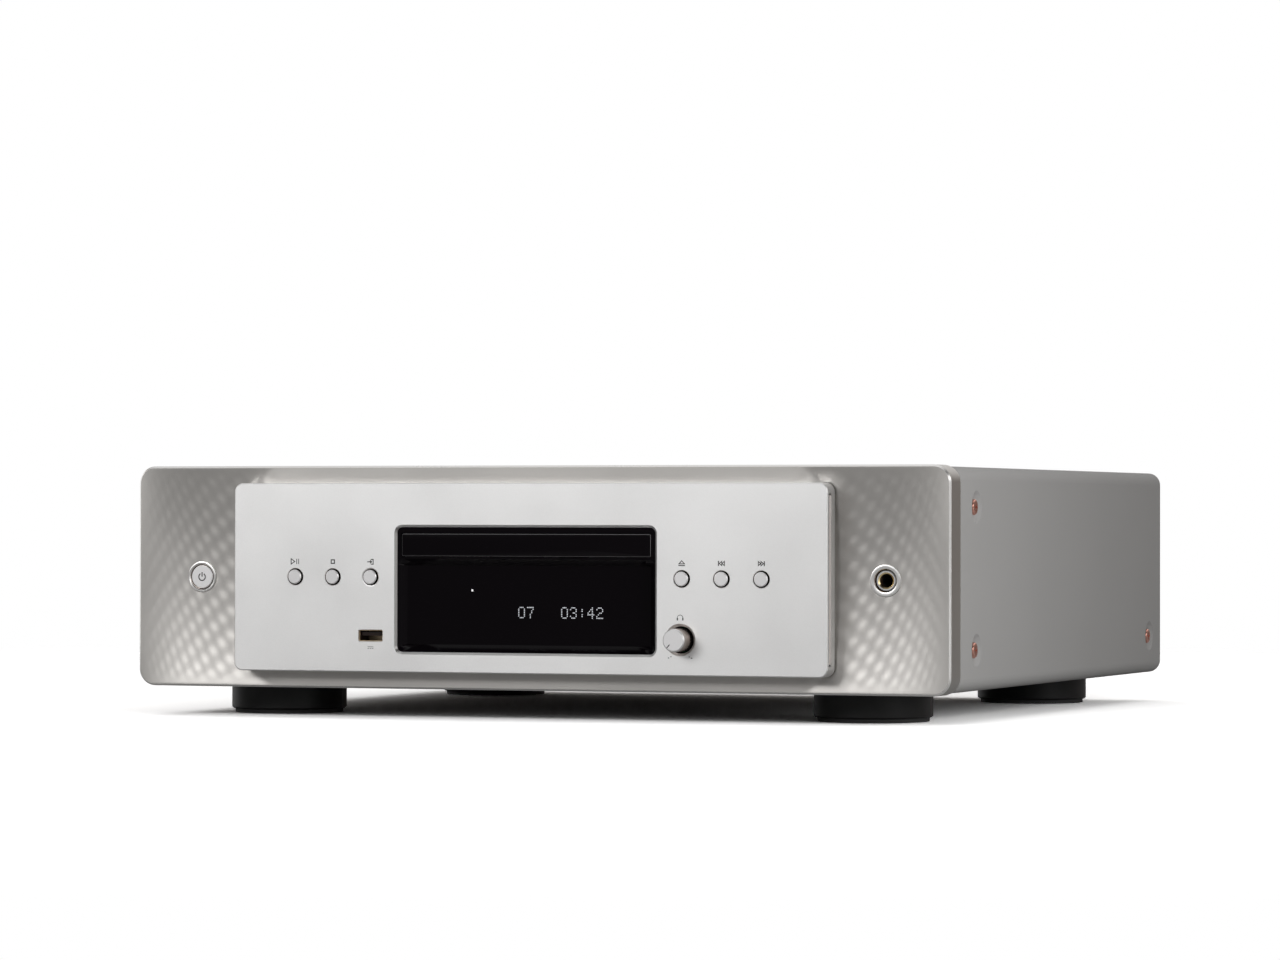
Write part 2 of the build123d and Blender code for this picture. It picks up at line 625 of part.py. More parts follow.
def top_cover():
    """Folded steel cover: top, sides with pressed cups, and lips curled in under the base."""
    cover = along_y(cover_profile(0.0), PANEL_BACK_Y, CASE_REAR_Y)
    cover -= along_y(cover_profile(COVER_T), PANEL_BACK_Y, CASE_REAR_Y)
    cover -= block(-COVER_LIP_X, COVER_LIP_X, PANEL_BACK_Y, CASE_REAR_Y, COVER_Z0, COVER_Z0 + COVER_T)
    for side, y, z in cup_places():
        x0, x1 = sorted((side * (COVER_X - COVER_T), side * (BASE_X - 1.0)))
        bowl = screw_cup(side, y, z, COVER_T) & block(x0, x1, y - 20, y + 20, z - 20, z + 20)
        cover += bowl
        cover -= screw_cup(side, y, z, 0.0)
        cover -= Pos(side * BASE_X, y, z) * Rot(0, 90, 0) * Cylinder(1.8, 4 * COVER_T)
    return cover


def chassis_base():
    """Bottom pan with side flanges and tall front brackets for the cover's screws."""
    y0, y1 = PANEL_BACK_Y, REAR_IN_Y
    above = BASE_SIDE_Z1 + 20.0
    base = along_y(rounded(-BASE_X, BASE_X, BASE_Z0, above, BASE_R), y0, y1)
    inner_x = BASE_X - BASE_T
    base -= along_y(rounded(-inner_x, inner_x, BASE_Z1, above, BASE_R - BASE_T), y0, y1)
    base -= block(-BASE_X, BASE_X, y0, y1, BASE_SIDE_Z1, above)
    for side in (-1, 1):
        x0, x1 = sorted((side * inner_x, side * BASE_X))
        base += block(x0, x1, y0, BRACKET_Y1, BASE_SIDE_Z1, BRACKET_Z1)
    for side, y, z in cup_places():
        base -= Pos(side * BASE_X, y, z) * Rot(0, 90, 0) * Cylinder(1.5, 4 * BASE_T)
    for x, y in foot_places():
        base -= rod_z(x, y, FOOT_SCREW_R + 0.1, BASE_Z0, BASE_Z1)
    return base


def cover_screws():
    """Pan-head screws in the cover's side cups."""
    screws = []
    seat_x = COVER_X - CUP_DEEP + CUP_BALL_R - sqrt(CUP_BALL_R ** 2 - SCREW_HEAD_R ** 2)
    for side, y, z in cup_places():
        head = Cylinder(SCREW_HEAD_R, 2.2, align=(Align.CENTER, Align.CENTER, Align.MIN))
        head = fillet(head.faces().sort_by(Axis.Z)[-1].edges(), 0.9)
        cross = Box(4.2, 0.9, 1.4) + Box(0.9, 4.2, 1.4)
        head -= Pos(0, 0, 2.2) * cross
        shank = Cylinder(1.4, 9.0, align=(Align.CENTER, Align.CENTER, Align.MAX))
        screws.append(Pos(side * seat_x, y, z) * Rot(0, side * 90, 0) * (head + shank))
    return Compound(screws)


def foot(x, y):
    """Round foot with a sunk bore for its screw."""
    body = rod_z(x, y, FOOT_R, PAD_T, BASE_Z0)
    body = chamfer(body.faces().sort_by(Axis.Z)[0].edges(), 0.8)
    body -= rod_z(x, y, FOOT_BORE_R, PAD_T, BASE_Z0 - FOOT_FLOOR_T)
    return body - rod_z(x, y, FOOT_SCREW_R + 0.2, PAD_T, BASE_Z0)


def foot_pads():
    """Ring pads glued under the feet."""
    return Compound([rod_z(x, y, PAD_R, 0, PAD_T) - rod_z(x, y, PAD_HOLE_R, 0, PAD_T)
                     for x, y in foot_places()])


def foot_screws():
    """Screws that hold the feet to the base."""
    seat_z = BASE_Z0 - FOOT_FLOOR_T
    return Compound([rod_z(x, y, FOOT_HEAD_R, seat_z - FOOT_HEAD_T, seat_z)
                     + rod_z(x, y, FOOT_SCREW_R, seat_z, BASE_Z1 + 3.0) for x, y in foot_places()])


# ---------------------------------------------------------------- rear

def rca_places():
    """X of the two analogue outputs and the coaxial digital output."""
    return ANALOG_X + (DIGITAL_X,)


def rear_screw_places():
    """X and Z of the screws along the rear panel's top and bottom edges."""
    return [(side * x, z) for x in REAR_SCREW_X for side in (-1, 1) for z in REAR_SCREW_Z]


def rear_panel():
    """Flat steel rear panel with its cut-outs."""
    outline = rounded(-REAR_X, REAR_X, BASE_Z0 + 0.2, REAR_Z1, COVER_R - COVER_T)
    panel = along_y(outline, REAR_IN_Y, REAR_Y)
    for x in rca_places():
        panel -= rod_y(x, SOCKET_Z, RCA_R + RCA_SHOULDER + HOLE_FIT, REAR_IN_Y, REAR_Y)
    for x in REMOTE_X:
        panel -= rod_y(x, SOCKET_Z, REMOTE_R + HOLE_FIT, REAR_IN_Y, REAR_Y)
    for x, half_w, half_h in ((OPTICAL_X, OPTICAL_HALF_W, OPTICAL_HALF_H),
                              (INLET_X, INLET_HALF_W, INLET_HALF_H)):
        hole = Rectangle(2 * (half_w + HOLE_FIT), 2 * (half_h + HOLE_FIT))
        panel -= along_y(Pos(x, SOCKET_Z) * hole, REAR_IN_Y, REAR_Y)
    for x, z in rear_screw_places():
        panel -= rod_y(x, z, REAR_SCREW_R + 0.15, REAR_IN_Y, REAR_Y)
    return panel


def output_jacks():
    """Metal shells of the three phono sockets."""
    y0 = REAR_IN_Y - RCA_INSIDE
    return Compound([tube_y(x, SOCKET_Z, RCA_R, RCA_CORE_R, REAR_Y, JACK_TIP_Y)
                     + tube_y(x, SOCKET_Z, RCA_R + RCA_SHOULDER, RCA_CORE_R, y0, REAR_Y)
                     for x in rca_places()])


def jack_insulators():
    """Insulated cores and square mounting bodies of the phono sockets."""
    cores = []
    y0 = REAR_IN_Y - RCA_INSIDE
    for x in rca_places():
        core = rod_y(x, SOCKET_Z, RCA_CORE_R, y0, JACK_TIP_Y - 0.6)
        core += block(x - 7, x + 7, y0 - RCA_BODY_L, y0, SOCKET_Z - 8, SOCKET_Z + 8)
        cores.append(core - rod_y(x, SOCKET_Z, RCA_BORE_R, y0 + 2.0, JACK_TIP_Y))
    return Compound(cores)


def optical_socket():
    """Optical digital output, its square mouth closed by a sunk shutter."""
    front_y = REAR_Y + 1.2
    body = Rectangle(2 * OPTICAL_HALF_W, 2 * OPTICAL_HALF_H)
    mouth = Rectangle(2 * (OPTICAL_HALF_H - OPTICAL_WALL), 2 * (OPTICAL_HALF_H - OPTICAL_WALL))
    socket = along_y(Pos(OPTICAL_X, SOCKET_Z) * body, REAR_IN_Y - 12.0, front_y)
    return socket - along_y(Pos(OPTICAL_X, SOCKET_Z) * mouth, front_y - 1.8, front_y)


def remote_jacks():
    """Two mini jacks for wired remote control."""
    jacks = []
    for x in REMOTE_X:
        jack = block(x - 4.5, x + 4.5, REAR_IN_Y - 13.0, REAR_IN_Y, SOCKET_Z - 5, SOCKET_Z + 5)
        jack += rod_y(x, SOCKET_Z, REMOTE_R, REAR_IN_Y, REAR_Y + 0.8)
        jacks.append(jack - rod_y(x, SOCKET_Z, REMOTE_BORE_R, REAR_IN_Y - 12.0, REAR_Y + 0.8))
    return Compound(jacks)


def ac_inlet():
    """Three-pole mains inlet with a deep socket open to the rear."""
    place = Pos(INLET_X, SOCKET_Z)
    flange = RectangleRounded(2 * (INLET_HALF_W + INLET_LIP), 2 * (INLET_HALF_H + INLET_LIP), 2.0)
    face_y = REAR_Y + 2.5
    body = along_y(place * flange, REAR_Y, face_y)
    barrel = Rectangle(2 * INLET_HALF_W, 2 * INLET_HALF_H)
    body += along_y(place * barrel, REAR_IN_Y - 18.0, REAR_Y)
    socket = Rectangle(INLET_SOCKET_W, INLET_SOCKET_H)
    socket = chamfer(socket.vertices().sort_by(Axis.Y)[-2:], 3.4)
    body -= along_y(place * socket, REAR_Y - INLET_DEEP, face_y)
    return body - ac_pins()


def ac_pins():
    """Blades of the mains inlet."""
    y0, y1 = REAR_IN_Y - 24.0, REAR_Y - 1.0
    places = ((-7.0, -2.0), (0.0, 2.0), (7.0, -2.0))
    return Compound([block(INLET_X + x - 1, INLET_X + x + 1, y0, y1,
                           SOCKET_Z + z - 2, SOCKET_Z + z + 2) for x, z in places])


def rear_screws():
    """Screws that hold the rear panel's edge."""
    screws = []
    for x, z in rear_screw_places():
        head = rod_y(x, z, 2.9, REAR_Y, REAR_Y + 1.8)
        head = fillet(head.faces().sort_by(Axis.Y)[-1].edges(), 0.7)
        screws.append(head + rod_y(x, z, REAR_SCREW_R, REAR_Y - 7.0, REAR_Y))
    return Compound(screws)


# ---------------------------------------------------------------- disc tray and its drive

def tray_front():
    """Black door on the end of the tray."""
    door = block(-DOOR_X, DOOR_X, WINDOW_Y, TRAY_FRONT_Y, DOOR_Z0, DOOR_Z1)
    return chamfer(door.faces().sort_by(Axis.Y)[0].edges(), 0.35)


def disc_tray():
    """Tray with stepped disc recesses, a slot open to the rear, and a rack on its left skirt."""
    tray = block(-TRAY_X, TRAY_X, TRAY_FRONT_Y, TRAY_REAR_Y, TRAY_FLOOR_Z0, TRAY_TOP)
    for side in (-1, 1):
        x0, x1 = sorted((side * (TRAY_X - 2.0), side * TRAY_X))
        tray += block(x0, x1, TRAY_FRONT_Y, TRAY_REAR_Y, TRAY_SKIRT_Z0, TRAY_FLOOR_Z0)
    tray -= rod_z(0, DISC_Y, DISC_RECESS_R, TRAY_DISC_Z, TRAY_TOP)
    tray -= rod_z(0, DISC_Y, SMALL_RECESS_R, TRAY_SMALL_DISC_Z, TRAY_TOP)
    tray -= rod_z(0, DISC_Y, SLOT_X, TRAY_FLOOR_Z0, TRAY_TOP)
    tray -= block(-SLOT_X, SLOT_X, DISC_Y, TRAY_REAR_Y, TRAY_FLOOR_Z0, TRAY_TOP)
    for side in (-1, 1):
        x0, x1 = sorted((side * (SLOT_X + 2.0), side * (TRAY_X - 8.0)))
        tray -= block(x0, x1, DISC_Y + DISC_RECESS_R + 2.0, TRAY_REAR_Y - 2.0,
                      TRAY_FLOOR_Z0, TRAY_TOP - 1.8)
    rack_root = RACK_X - 1.25 * GEAR_MODULE
    y0, y1 = GEAR_Y - 8.0, GEAR_Y + TRAY_TRAVEL + 9.0
    tray += block(-TRAY_X, rack_root, y0, y1, TRAY_SKIRT_Z0, TRAY_FLOOR_Z0)
    tray += rack_teeth(GEAR_MODULE, 1, RACK_X, GEAR_Y, y0, y1,
                       TRAY_SKIRT_Z0, TRAY_FLOOR_Z0, GEAR_BACKLASH)
    return tray


def grooved_pulley(x, y, r):
    """Pulley with a square belt groove round its middle."""
    z1 = PULLEY_Z0 + PULLEY_H
    groove_z = (PULLEY_Z0 + z1) / 2
    groove = rod_z(x, y, r + 1.0, groove_z - 1.3, groove_z + 1.3)
    groove -= rod_z(x, y, r - GROOVE, groove_z - 1.3, groove_z + 1.3)
    return rod_z(x, y, r, PULLEY_Z0, z1) - groove


def loading_gear():
    """Gear that drives the tray rack, moulded in one with its belt pulley."""
    teeth_z0 = PULLEY_Z0 + PULLEY_H
    gear = grooved_pulley(GEAR_X, GEAR_Y, PULLEY_R)
    teeth = spur_gear(GEAR_MODULE, GEAR_TEETH, TRAY_FLOOR_Z0 - SLIDE_GAP - teeth_z0,
                      GEAR_BACKLASH, turned=180.0)
    gear += Pos(GEAR_X, GEAR_Y, teeth_z0) * teeth
    return gear - rod_z(GEAR_X, GEAR_Y, 2.0 + SHAFT_FIT, PULLEY_Z0, TRAY_FLOOR_Z0)


def motor_pulley():
    """Small pulley pressed on the loading motor's shaft."""
    shaft = rod_z(MOTOR_X, GEAR_Y, MOTOR_SHAFT_R, LOADER_DECK_Z - 8.0, PULLEY_Z0)
    return grooved_pulley(MOTOR_X, GEAR_Y, MOTOR_PULLEY_R) + shaft


def loading_motor():
    """Can motor under the loader's front deck."""
    z1 = LOADER_DECK_Z - LOADER_DECK_T
    motor = rod_z(MOTOR_X, GEAR_Y, MOTOR_R, z1 - 22.0, z1)
    return motor - rod_z(MOTOR_X, GEAR_Y, MOTOR_SHAFT_R + SHAFT_FIT, LOADER_DECK_Z - 8.5, z1)


def belt_outline(r_gear, r_motor):
    """Loop round both pulleys, made of two arcs and their outer tangents, seen from above."""
    reach = MOTOR_X - GEAR_X
    lean = (r_gear - r_motor) / reach
    rise = sqrt(1 - lean ** 2)
    gear_hit = (r_gear * lean, r_gear * rise)
    motor_hit = (reach + r_motor * lean, r_motor * rise)
    loop = Polyline(gear_hit, motor_hit) + ThreePointArc(
        motor_hit, (reach + r_motor, 0), (motor_hit[0], -motor_hit[1]))
    loop += Polyline((motor_hit[0], -motor_hit[1]), (gear_hit[0], -gear_hit[1]))
    loop += ThreePointArc((gear_hit[0], -gear_hit[1]), (-r_gear, 0), gear_hit)
    return make_face(loop)


def loading_belt():
    """Square rubber belt between the two pulleys."""
    inner = BELT_FIT - GROOVE
    outer = inner + 1.3
    band = belt_outline(PULLEY_R + outer, MOTOR_PULLEY_R + outer)
    band -= belt_outline(PULLEY_R + inner, MOTOR_PULLEY_R + inner)
    groove_z = PULLEY_Z0 + PULLEY_H / 2
    return Pos(GEAR_X, GEAR_Y, groove_z - 0.8) * extrude(band, amount=1.6)


def loader_frame():
    """Moulded loader body: side walls with tray guides, front deck, pivots, and four legs."""
    inner = TRAY_X + SLIDE_GAP
    ledge_z1 = TRAY_SKIRT_Z0 - SLIDE_GAP
    deck_z0 = LOADER_DECK_Z - LOADER_DECK_T
    deck_y1 = LOADER_Y0 + LOADER_DECK_L
    frame = block(-inner, inner, LOADER_Y0, deck_y1, deck_z0, LOADER_DECK_Z)
    frame += block(-inner, inner, LOADER_Y1 - 12.0, LOADER_Y1, LOADER_Z0, LOADER_Z0 + 6.0)
    for side in (-1, 1):
        wall_x0, wall_x1 = sorted((side * inner, side * LOADER_X))
        frame += block(wall_x0, wall_x1, LOADER_Y0, LOADER_Y1, LOADER_Z0, LOADER_Z1)
        ledge_x0, ledge_x1 = sorted((side * (inner - 5.0), side * inner))
        frame += block(ledge_x0, ledge_x1, LOADER_Y0, LOADER_Y1, ledge_z1 - 3.0, ledge_z1)
        lip_x0, lip_x1 = sorted((side * (inner - 3.0), side * inner))
        for lip_y in (LOADER_Y0, LOADER_Y0 + 26.0, TRAY_REAR_Y - 20.0):
            frame += block(lip_x0, lip_x1, lip_y, lip_y + 8.0, TRAY_TOP + SLIDE_GAP, LOADER_Z1)
        boss_x0, boss_x1 = sorted((side * (DECK_X + 4.0), side * inner))
        frame += block(boss_x0, boss_x1, PIVOT_Y - 6.0, PIVOT_Y + 6.0, PIVOT_Z - 6.0, PIVOT_Z + 5.0)
        leg_x0, leg_x1 = sorted((side * LOADER_X, side * (LOADER_X + LEG_W)))
        leg_x = (leg_x0 + leg_x1) / 2
        leg_top = LOADER_Z0 + 8.0
        leg_floor = BASE_Z1 + LEG_FLOOR_T
        for leg_y in (LOADER_Y0 + 20.0, LOADER_Y1 - 18.0):
            frame += block(leg_x0, leg_x1, leg_y - LEG_W / 2, leg_y + LEG_W / 2, BASE_Z1, leg_top)
            frame -= rod_z(leg_x, leg_y, LEG_BORE_R, leg_floor, leg_top)
            frame -= rod_z(leg_x, leg_y, LEG_BORE_R / 2, BASE_Z1, leg_floor)
    bore = Rot(0, 90, 0) * Cylinder(PIVOT_R + PIVOT_FIT, 2 * (DECK_X + 9.5))
    frame -= Pos(0, PIVOT_Y, PIVOT_Z) * bore
    frame -= rod_z(MOTOR_X, GEAR_Y, 3.0, deck_z0, LOADER_DECK_Z)
    frame += rod_z(GEAR_X, GEAR_Y, 2.0, LOADER_DECK_Z, TRAY_FLOOR_Z0 - SLIDE_GAP)
    frame += rod_z(GEAR_X, GEAR_Y, 4.0, LOADER_DECK_Z, PULLEY_Z0 - 0.1)
    return frame


def clamp_bridge():
    """Steel bridge over the tray that carries the clamper, with a tab at each end."""
    y0, y1 = DISC_Y - BRIDGE_HALF_L, DISC_Y + BRIDGE_HALF_L
    bridge = block(-LOADER_X, LOADER_X, y0, y1, LOADER_Z1, LOADER_Z1 + BRIDGE_T)
    bridge -= rod_z(0, DISC_Y, CLAMP_HOLE_R, LOADER_Z1, LOADER_Z1 + BRIDGE_T)
    for side in (-1, 1):
        x0, x1 = sorted((side * 24.0, side * 58.0))
        stiffener = block(x0, x1, y0, y0 + 1.5, LOADER_Z1 + BRIDGE_T, LOADER_Z1 + 5.0)
        bridge += stiffener + Pos(0, 2 * BRIDGE_HALF_L - 1.5, 0) * stiffener
        tab_x0, tab_x1 = sorted((side * LOADER_X, side * (LOADER_X + 1.5)))
        bridge += block(tab_x0, tab_x1, y0 + 8, y1 - 8, LOADER_Z1 - 16.0, LOADER_Z1 + BRIDGE_T)
    return bridge


def clamper():
    """Disc clamper hanging in the bridge, lifted off it as it is while the deck is up."""
    flange_z = LOADER_Z1 + BRIDGE_T + 1.3
    body = rod_z(0, DISC_Y, CLAMP_R, CLAMP_Z0, LOADER_Z1 - 1.2)
    body += rod_z(0, DISC_Y, CLAMP_NECK_R, LOADER_Z1 - 1.2, flange_z)
    body += rod_z(0, DISC_Y, CLAMP_R - 1.0, flange_z, flange_z + 2.0)
    body -= rod_z(0, DISC_Y, CONE_R + 0.8, CLAMP_Z0, CONE_Z1 + 0.6)
    ribs = block(-9, 9, DISC_Y - 0.8, DISC_Y + 0.8, flange_z + 2.0, flange_z + 3.0)
    return body + ribs


# ---------------------------------------------------------------- optical deck

def deck_frame():
    """Deck plate with side walls, rod holders and the trunnions that it tilts on."""
    deck = block(-DECK_X, DECK_X, DECK_Y0, DECK_Y1, DECK_Z0, DECK_Z0 + DECK_T)
    deck -= block(-27.0, 20.0, DISC_Y + 16.0, ROD_Y1 - 6.0, DECK_Z0, DECK_Z0 + DECK_T)
    deck -= rod_z(0, DISC_Y, 3.0, DECK_Z0, DECK_Z0 + DECK_T)
    deck -= rod_z(SLED_GEAR_X, SLED_GEAR_Y, 2.0, DECK_Z0, DECK_Z0 + DECK_T)
    for side in (-1, 1):
        x0, x1 = sorted((side * (DECK_X - 2.0), side * DECK_X))
        deck += block(x0, x1, DECK_Y0, DECK_Y1, DECK_Z0, DECK_Z0 + 6.0)
        pin = Rot(0, 90, 0) * Cylinder(PIVOT_R, 11.0)
        deck += Pos(side * (DECK_X + 3.5), PIVOT_Y, PIVOT_Z) * pin
        hub_x0, hub_x1 = sorted((side * (DECK_X - 8.0), side * DECK_X))
        deck += block(hub_x0, hub_x1, PIVOT_Y - 4.0, PIVOT_Y + 4.0, DECK_Z0, DECK_Z0 + 6.0)
    for x in (ROD_MAIN_X, ROD_SIDE_X):
        for y0 in (ROD_Y0 - 1.0, ROD_Y1 - 4.0):
            deck += block(x - 4.0, x + 4.0, y0, y0 + 5.0, DECK_Z0, ROD_Z + 3.0)
        deck -= rod_y(x, ROD_Z, ROD_R, ROD_Y0, ROD_Y1)
    return deck


def guide_rods():
    """Two polished rods that the sled runs on."""
    return Compound([rod_y(x, ROD_Z, ROD_R, ROD_Y0, ROD_Y1) for x in (ROD_MAIN_X, ROD_SIDE_X)])


def deck_motors():
    """Spindle motor and sled motor under the deck plate."""
    spindle = rod_z(0, DISC_Y, 12.0, DECK_Z0 - 11.0, DECK_Z0)
    spindle -= rod_z(0, DISC_Y, SPINDLE_R + SHAFT_FIT, DECK_Z0 - 8.0, DECK_Z0)
    sled = rod_z(SLED_GEAR_X, SLED_GEAR_Y, 8.0, DECK_Z0 - 16.0, DECK_Z0)
    sled -= rod_z(SLED_GEAR_X, SLED_GEAR_Y, MOTOR_SHAFT_R + SHAFT_FIT, DECK_Z0 - 8.0, DECK_Z0)
    return Compound([spindle, sled])


def spindle_hub():
    """Turntable with its centring cone and shaft."""
    hub = rod_z(0, DISC_Y, HUB_R, HUB_SEAT_Z - 2.2, HUB_SEAT_Z)
    hub += rod_z(0, DISC_Y, 8.0, DECK_Z0 + DECK_T + 1.0, HUB_SEAT_Z)
    cone_h = CONE_Z1 - HUB_SEAT_Z
    hub += Pos(0, DISC_Y, HUB_SEAT_Z + cone_h / 2) * Cone(CONE_R, CONE_R - 2.5, cone_h)
    return hub + rod_z(0, DISC_Y, SPINDLE_R, DECK_Z0 - 7.5, DECK_Z0 + DECK_T + 1.0)


def laser_sled():
    """Pickup body with its rod bushes, hook, rack and lens cover plate."""
    y1 = SLED_Y0 + SLED_LENGTH
    x0, x1 = ROD_MAIN_X + 6.0, ROD_SIDE_X - 4.0
    arm_z0, arm_z1 = ROD_Z - SLED_ARM_HALF, ROD_Z + SLED_ARM_HALF
    bush_z0, bush_z1 = arm_z0 - 2.0, arm_z1 + 2.0
    sled = block(x0, x1, SLED_Y0, y1, DECK_Z0 + 3.4, SLED_TOP_Z)
    sled += block(ROD_MAIN_X - 4.0, x0, SLED_Y0, y1, bush_z0, bush_z1)
    sled += block(x1, ROD_SIDE_X + 4.0, SLED_Y0 + 10, SLED_Y0 + 18, bush_z0, bush_z1)
    sled += block(x1, SLED_RACK_X - 2.0, SLED_Y0 + 10, SLED_Y0 + 18, arm_z0, arm_z1)
    for x in (ROD_MAIN_X, ROD_SIDE_X):
        sled -= rod_y(x, ROD_Z, ROD_R + ROD_FIT, SLED_Y0, y1)
    rack_root = SLED_RACK_X - 1.25 * SLED_MODULE
    rack_y1 = SLED_Y0 + SLED_RACK_LENGTH
    sled += block(ROD_SIDE_X + 4.6, rack_root, SLED_Y0, rack_y1, arm_z0, arm_z1)
    sled += rack_teeth(SLED_MODULE, 1, SLED_RACK_X, SLED_GEAR_Y, SLED_Y0, rack_y1,
                       arm_z0, arm_z1, GEAR_BACKLASH)
    return sled - rod_z(0, LENS_Y, LENS_R + 0.8, LENS_WELL_Z, SLED_TOP_Z)


def objective_lens():
    """Lens in its holder, standing in the sled's round well."""
    rim_z = LENS_WELL_Z + 2.0
    holder = rod_z(0, LENS_Y, LENS_R + 0.5, LENS_WELL_Z, rim_z)
    return holder + rod_z(0, LENS_Y, LENS_R - 1.2, rim_z, rim_z + 0.8)


def sled_gear():
    """Pinion on the sled motor's shaft, in mesh with the sled's rack."""
    z0 = ROD_Z - SLED_ARM_HALF
    gear = spur_gear(SLED_MODULE, SLED_TEETH, 2 * SLED_ARM_HALF, GEAR_BACKLASH, turned=180.0)
    shaft = rod_z(SLED_GEAR_X, SLED_GEAR_Y, MOTOR_SHAFT_R, DECK_Z0 - 7.5, z0)
    return Pos(SLED_GEAR_X, SLED_GEAR_Y, z0) * gear + shaft


# ---------------------------------------------------------------- electronics

def board_on_legs(x0, x1, y0, y1):
    """Circuit board with a moulded leg under each corner."""
    board = block(x0, x1, y0, y1, BOARD_Z0, BOARD_Z0 + BOARD_T)
    for x in (x0 + 6.0, x1 - 6.0):
        for y in (y0 + 6.0, y1 - 6.0):
            board += rod_z(x, y, LEG_R, BASE_Z1, BOARD_Z0)
    return board


def power_transformer():
    """Potted toroidal transformer with its clamping disc and bolt."""
    top = BASE_Z1 + TRANSFORMER_H
    core = rod_z(TRANSFORMER_X, TRANSFORMER_Y, TRANSFORMER_R, BASE_Z1, top)
    core = fillet(core.faces().sort_by(Axis.Z)[-1].edges(), 6.0)
    disc = rod_z(TRANSFORMER_X, TRANSFORMER_Y, TRANSFORMER_R - 20.0, top, top + 2.0)
    return core + disc + rod_z(TRANSFORMER_X, TRANSFORMER_Y, 5.0, top + 2.0, top + 8.0)


def power_board():
    """Power supply board with its heatsink and rectifier block."""
    x0, x1, y0 = -BOARD_OUTER_X, -BOARD_INNER_X, POWER_BOARD_Y0
    top = BOARD_Z0 + BOARD_T
    sink_x0, sink_x1 = x0 + 10.0, x1 - 30.0
    board = board_on_legs(x0, x1, y0, POWER_BOARD_Y1)
    board += block(sink_x0, sink_x1, y0 + 14, y0 + 18, top, top + SINK_H)
    for i in range(int((sink_x1 - sink_x0 - FIN_T) / FIN_PITCH) + 1):
        fin_x = sink_x0 + FIN_T + i * FIN_PITCH
        board += block(fin_x, fin_x + FIN_T, y0 + 18, y0 + 32, top, top + SINK_H)
    return board + block(x1 - 24, x1 - 8, y0 + 12, y0 + 36, top, top + 14.0)


def smoothing_capacitors():
    """Four large capacitors on the power board."""
    top = BOARD_Z0 + BOARD_T
    cans = []
    for i in range(4):
        x = -BOARD_OUTER_X + 20.0 + (i % 2) * CAN_PITCH
        y = POWER_BOARD_Y1 - 26.0 - (i // 2) * CAN_PITCH
        can = rod_z(x, y, CAN_R, top, top + CAN_H)
        cans.append(fillet(can.faces().sort_by(Axis.Z)[-1].edges(), 1.2))
    return Compound(cans)


def main_board():
    """Signal board with its connectors."""
    x0, y0 = BOARD_INNER_X, MAIN_BOARD_Y0
    top = BOARD_Z0 + BOARD_T
    board = board_on_legs(x0, BOARD_OUTER_X, y0, MAIN_BOARD_Y1)
    for i in range(3):
        board += block(x0 + 6, x0 + 12, y0 + 20 + i * 40, y0 + 44 + i * 40, top, top + 6.0)
    return board


def main_board_chips():
    """Converter and processor packages on the signal board."""
    x0, y0 = BOARD_INNER_X, MAIN_BOARD_Y0
    top = BOARD_Z0 + BOARD_T
    places = ((34, 40, 20), (70, 60, 14), (40, 100, 14), (70, 110, 10), (56, 150, 12))
    return Compound([block(x0 + x, x0 + x + size, y0 + y, y0 + y + size, top, top + 2.0)
                     for x, y, size in places])


def ribbon_cables():
    """Flat cables from the front board over the base to the power and signal boards."""
    z0 = BASE_Z1 + 0.4
    y0 = FRONT_BOARD_Y + BOARD_T
    drop_y = PANEL_BACK_Y + 3.0
    t = RIBBON_T
    cables = []
    for x, board_y in ((-RIBBON_X, POWER_BOARD_Y0), (RIBBON_X, MAIN_BOARD_Y0)):
        x0, x1, y1 = x - RIBBON_HALF_W, x + RIBBON_HALF_W, board_y - 3.0
        riser = block(x0, x1, y0, y0 + t, WINDOW_Z0, WINDOW_Z0 + 14.0)
        elbow = block(x0, x1, y0, drop_y + t, WINDOW_Z0, WINDOW_Z0 + t)
        drop = block(x0, x1, drop_y, drop_y + t, z0, WINDOW_Z0)
        run = block(x0, x1, drop_y, y1, z0, z0 + t)
        end = block(x0, x1, y1 - t, y1, z0, BOARD_Z0 + BOARD_T + 4.0)
        cables.append(riser + elbow + drop + run + end)
    return Compound(cables)


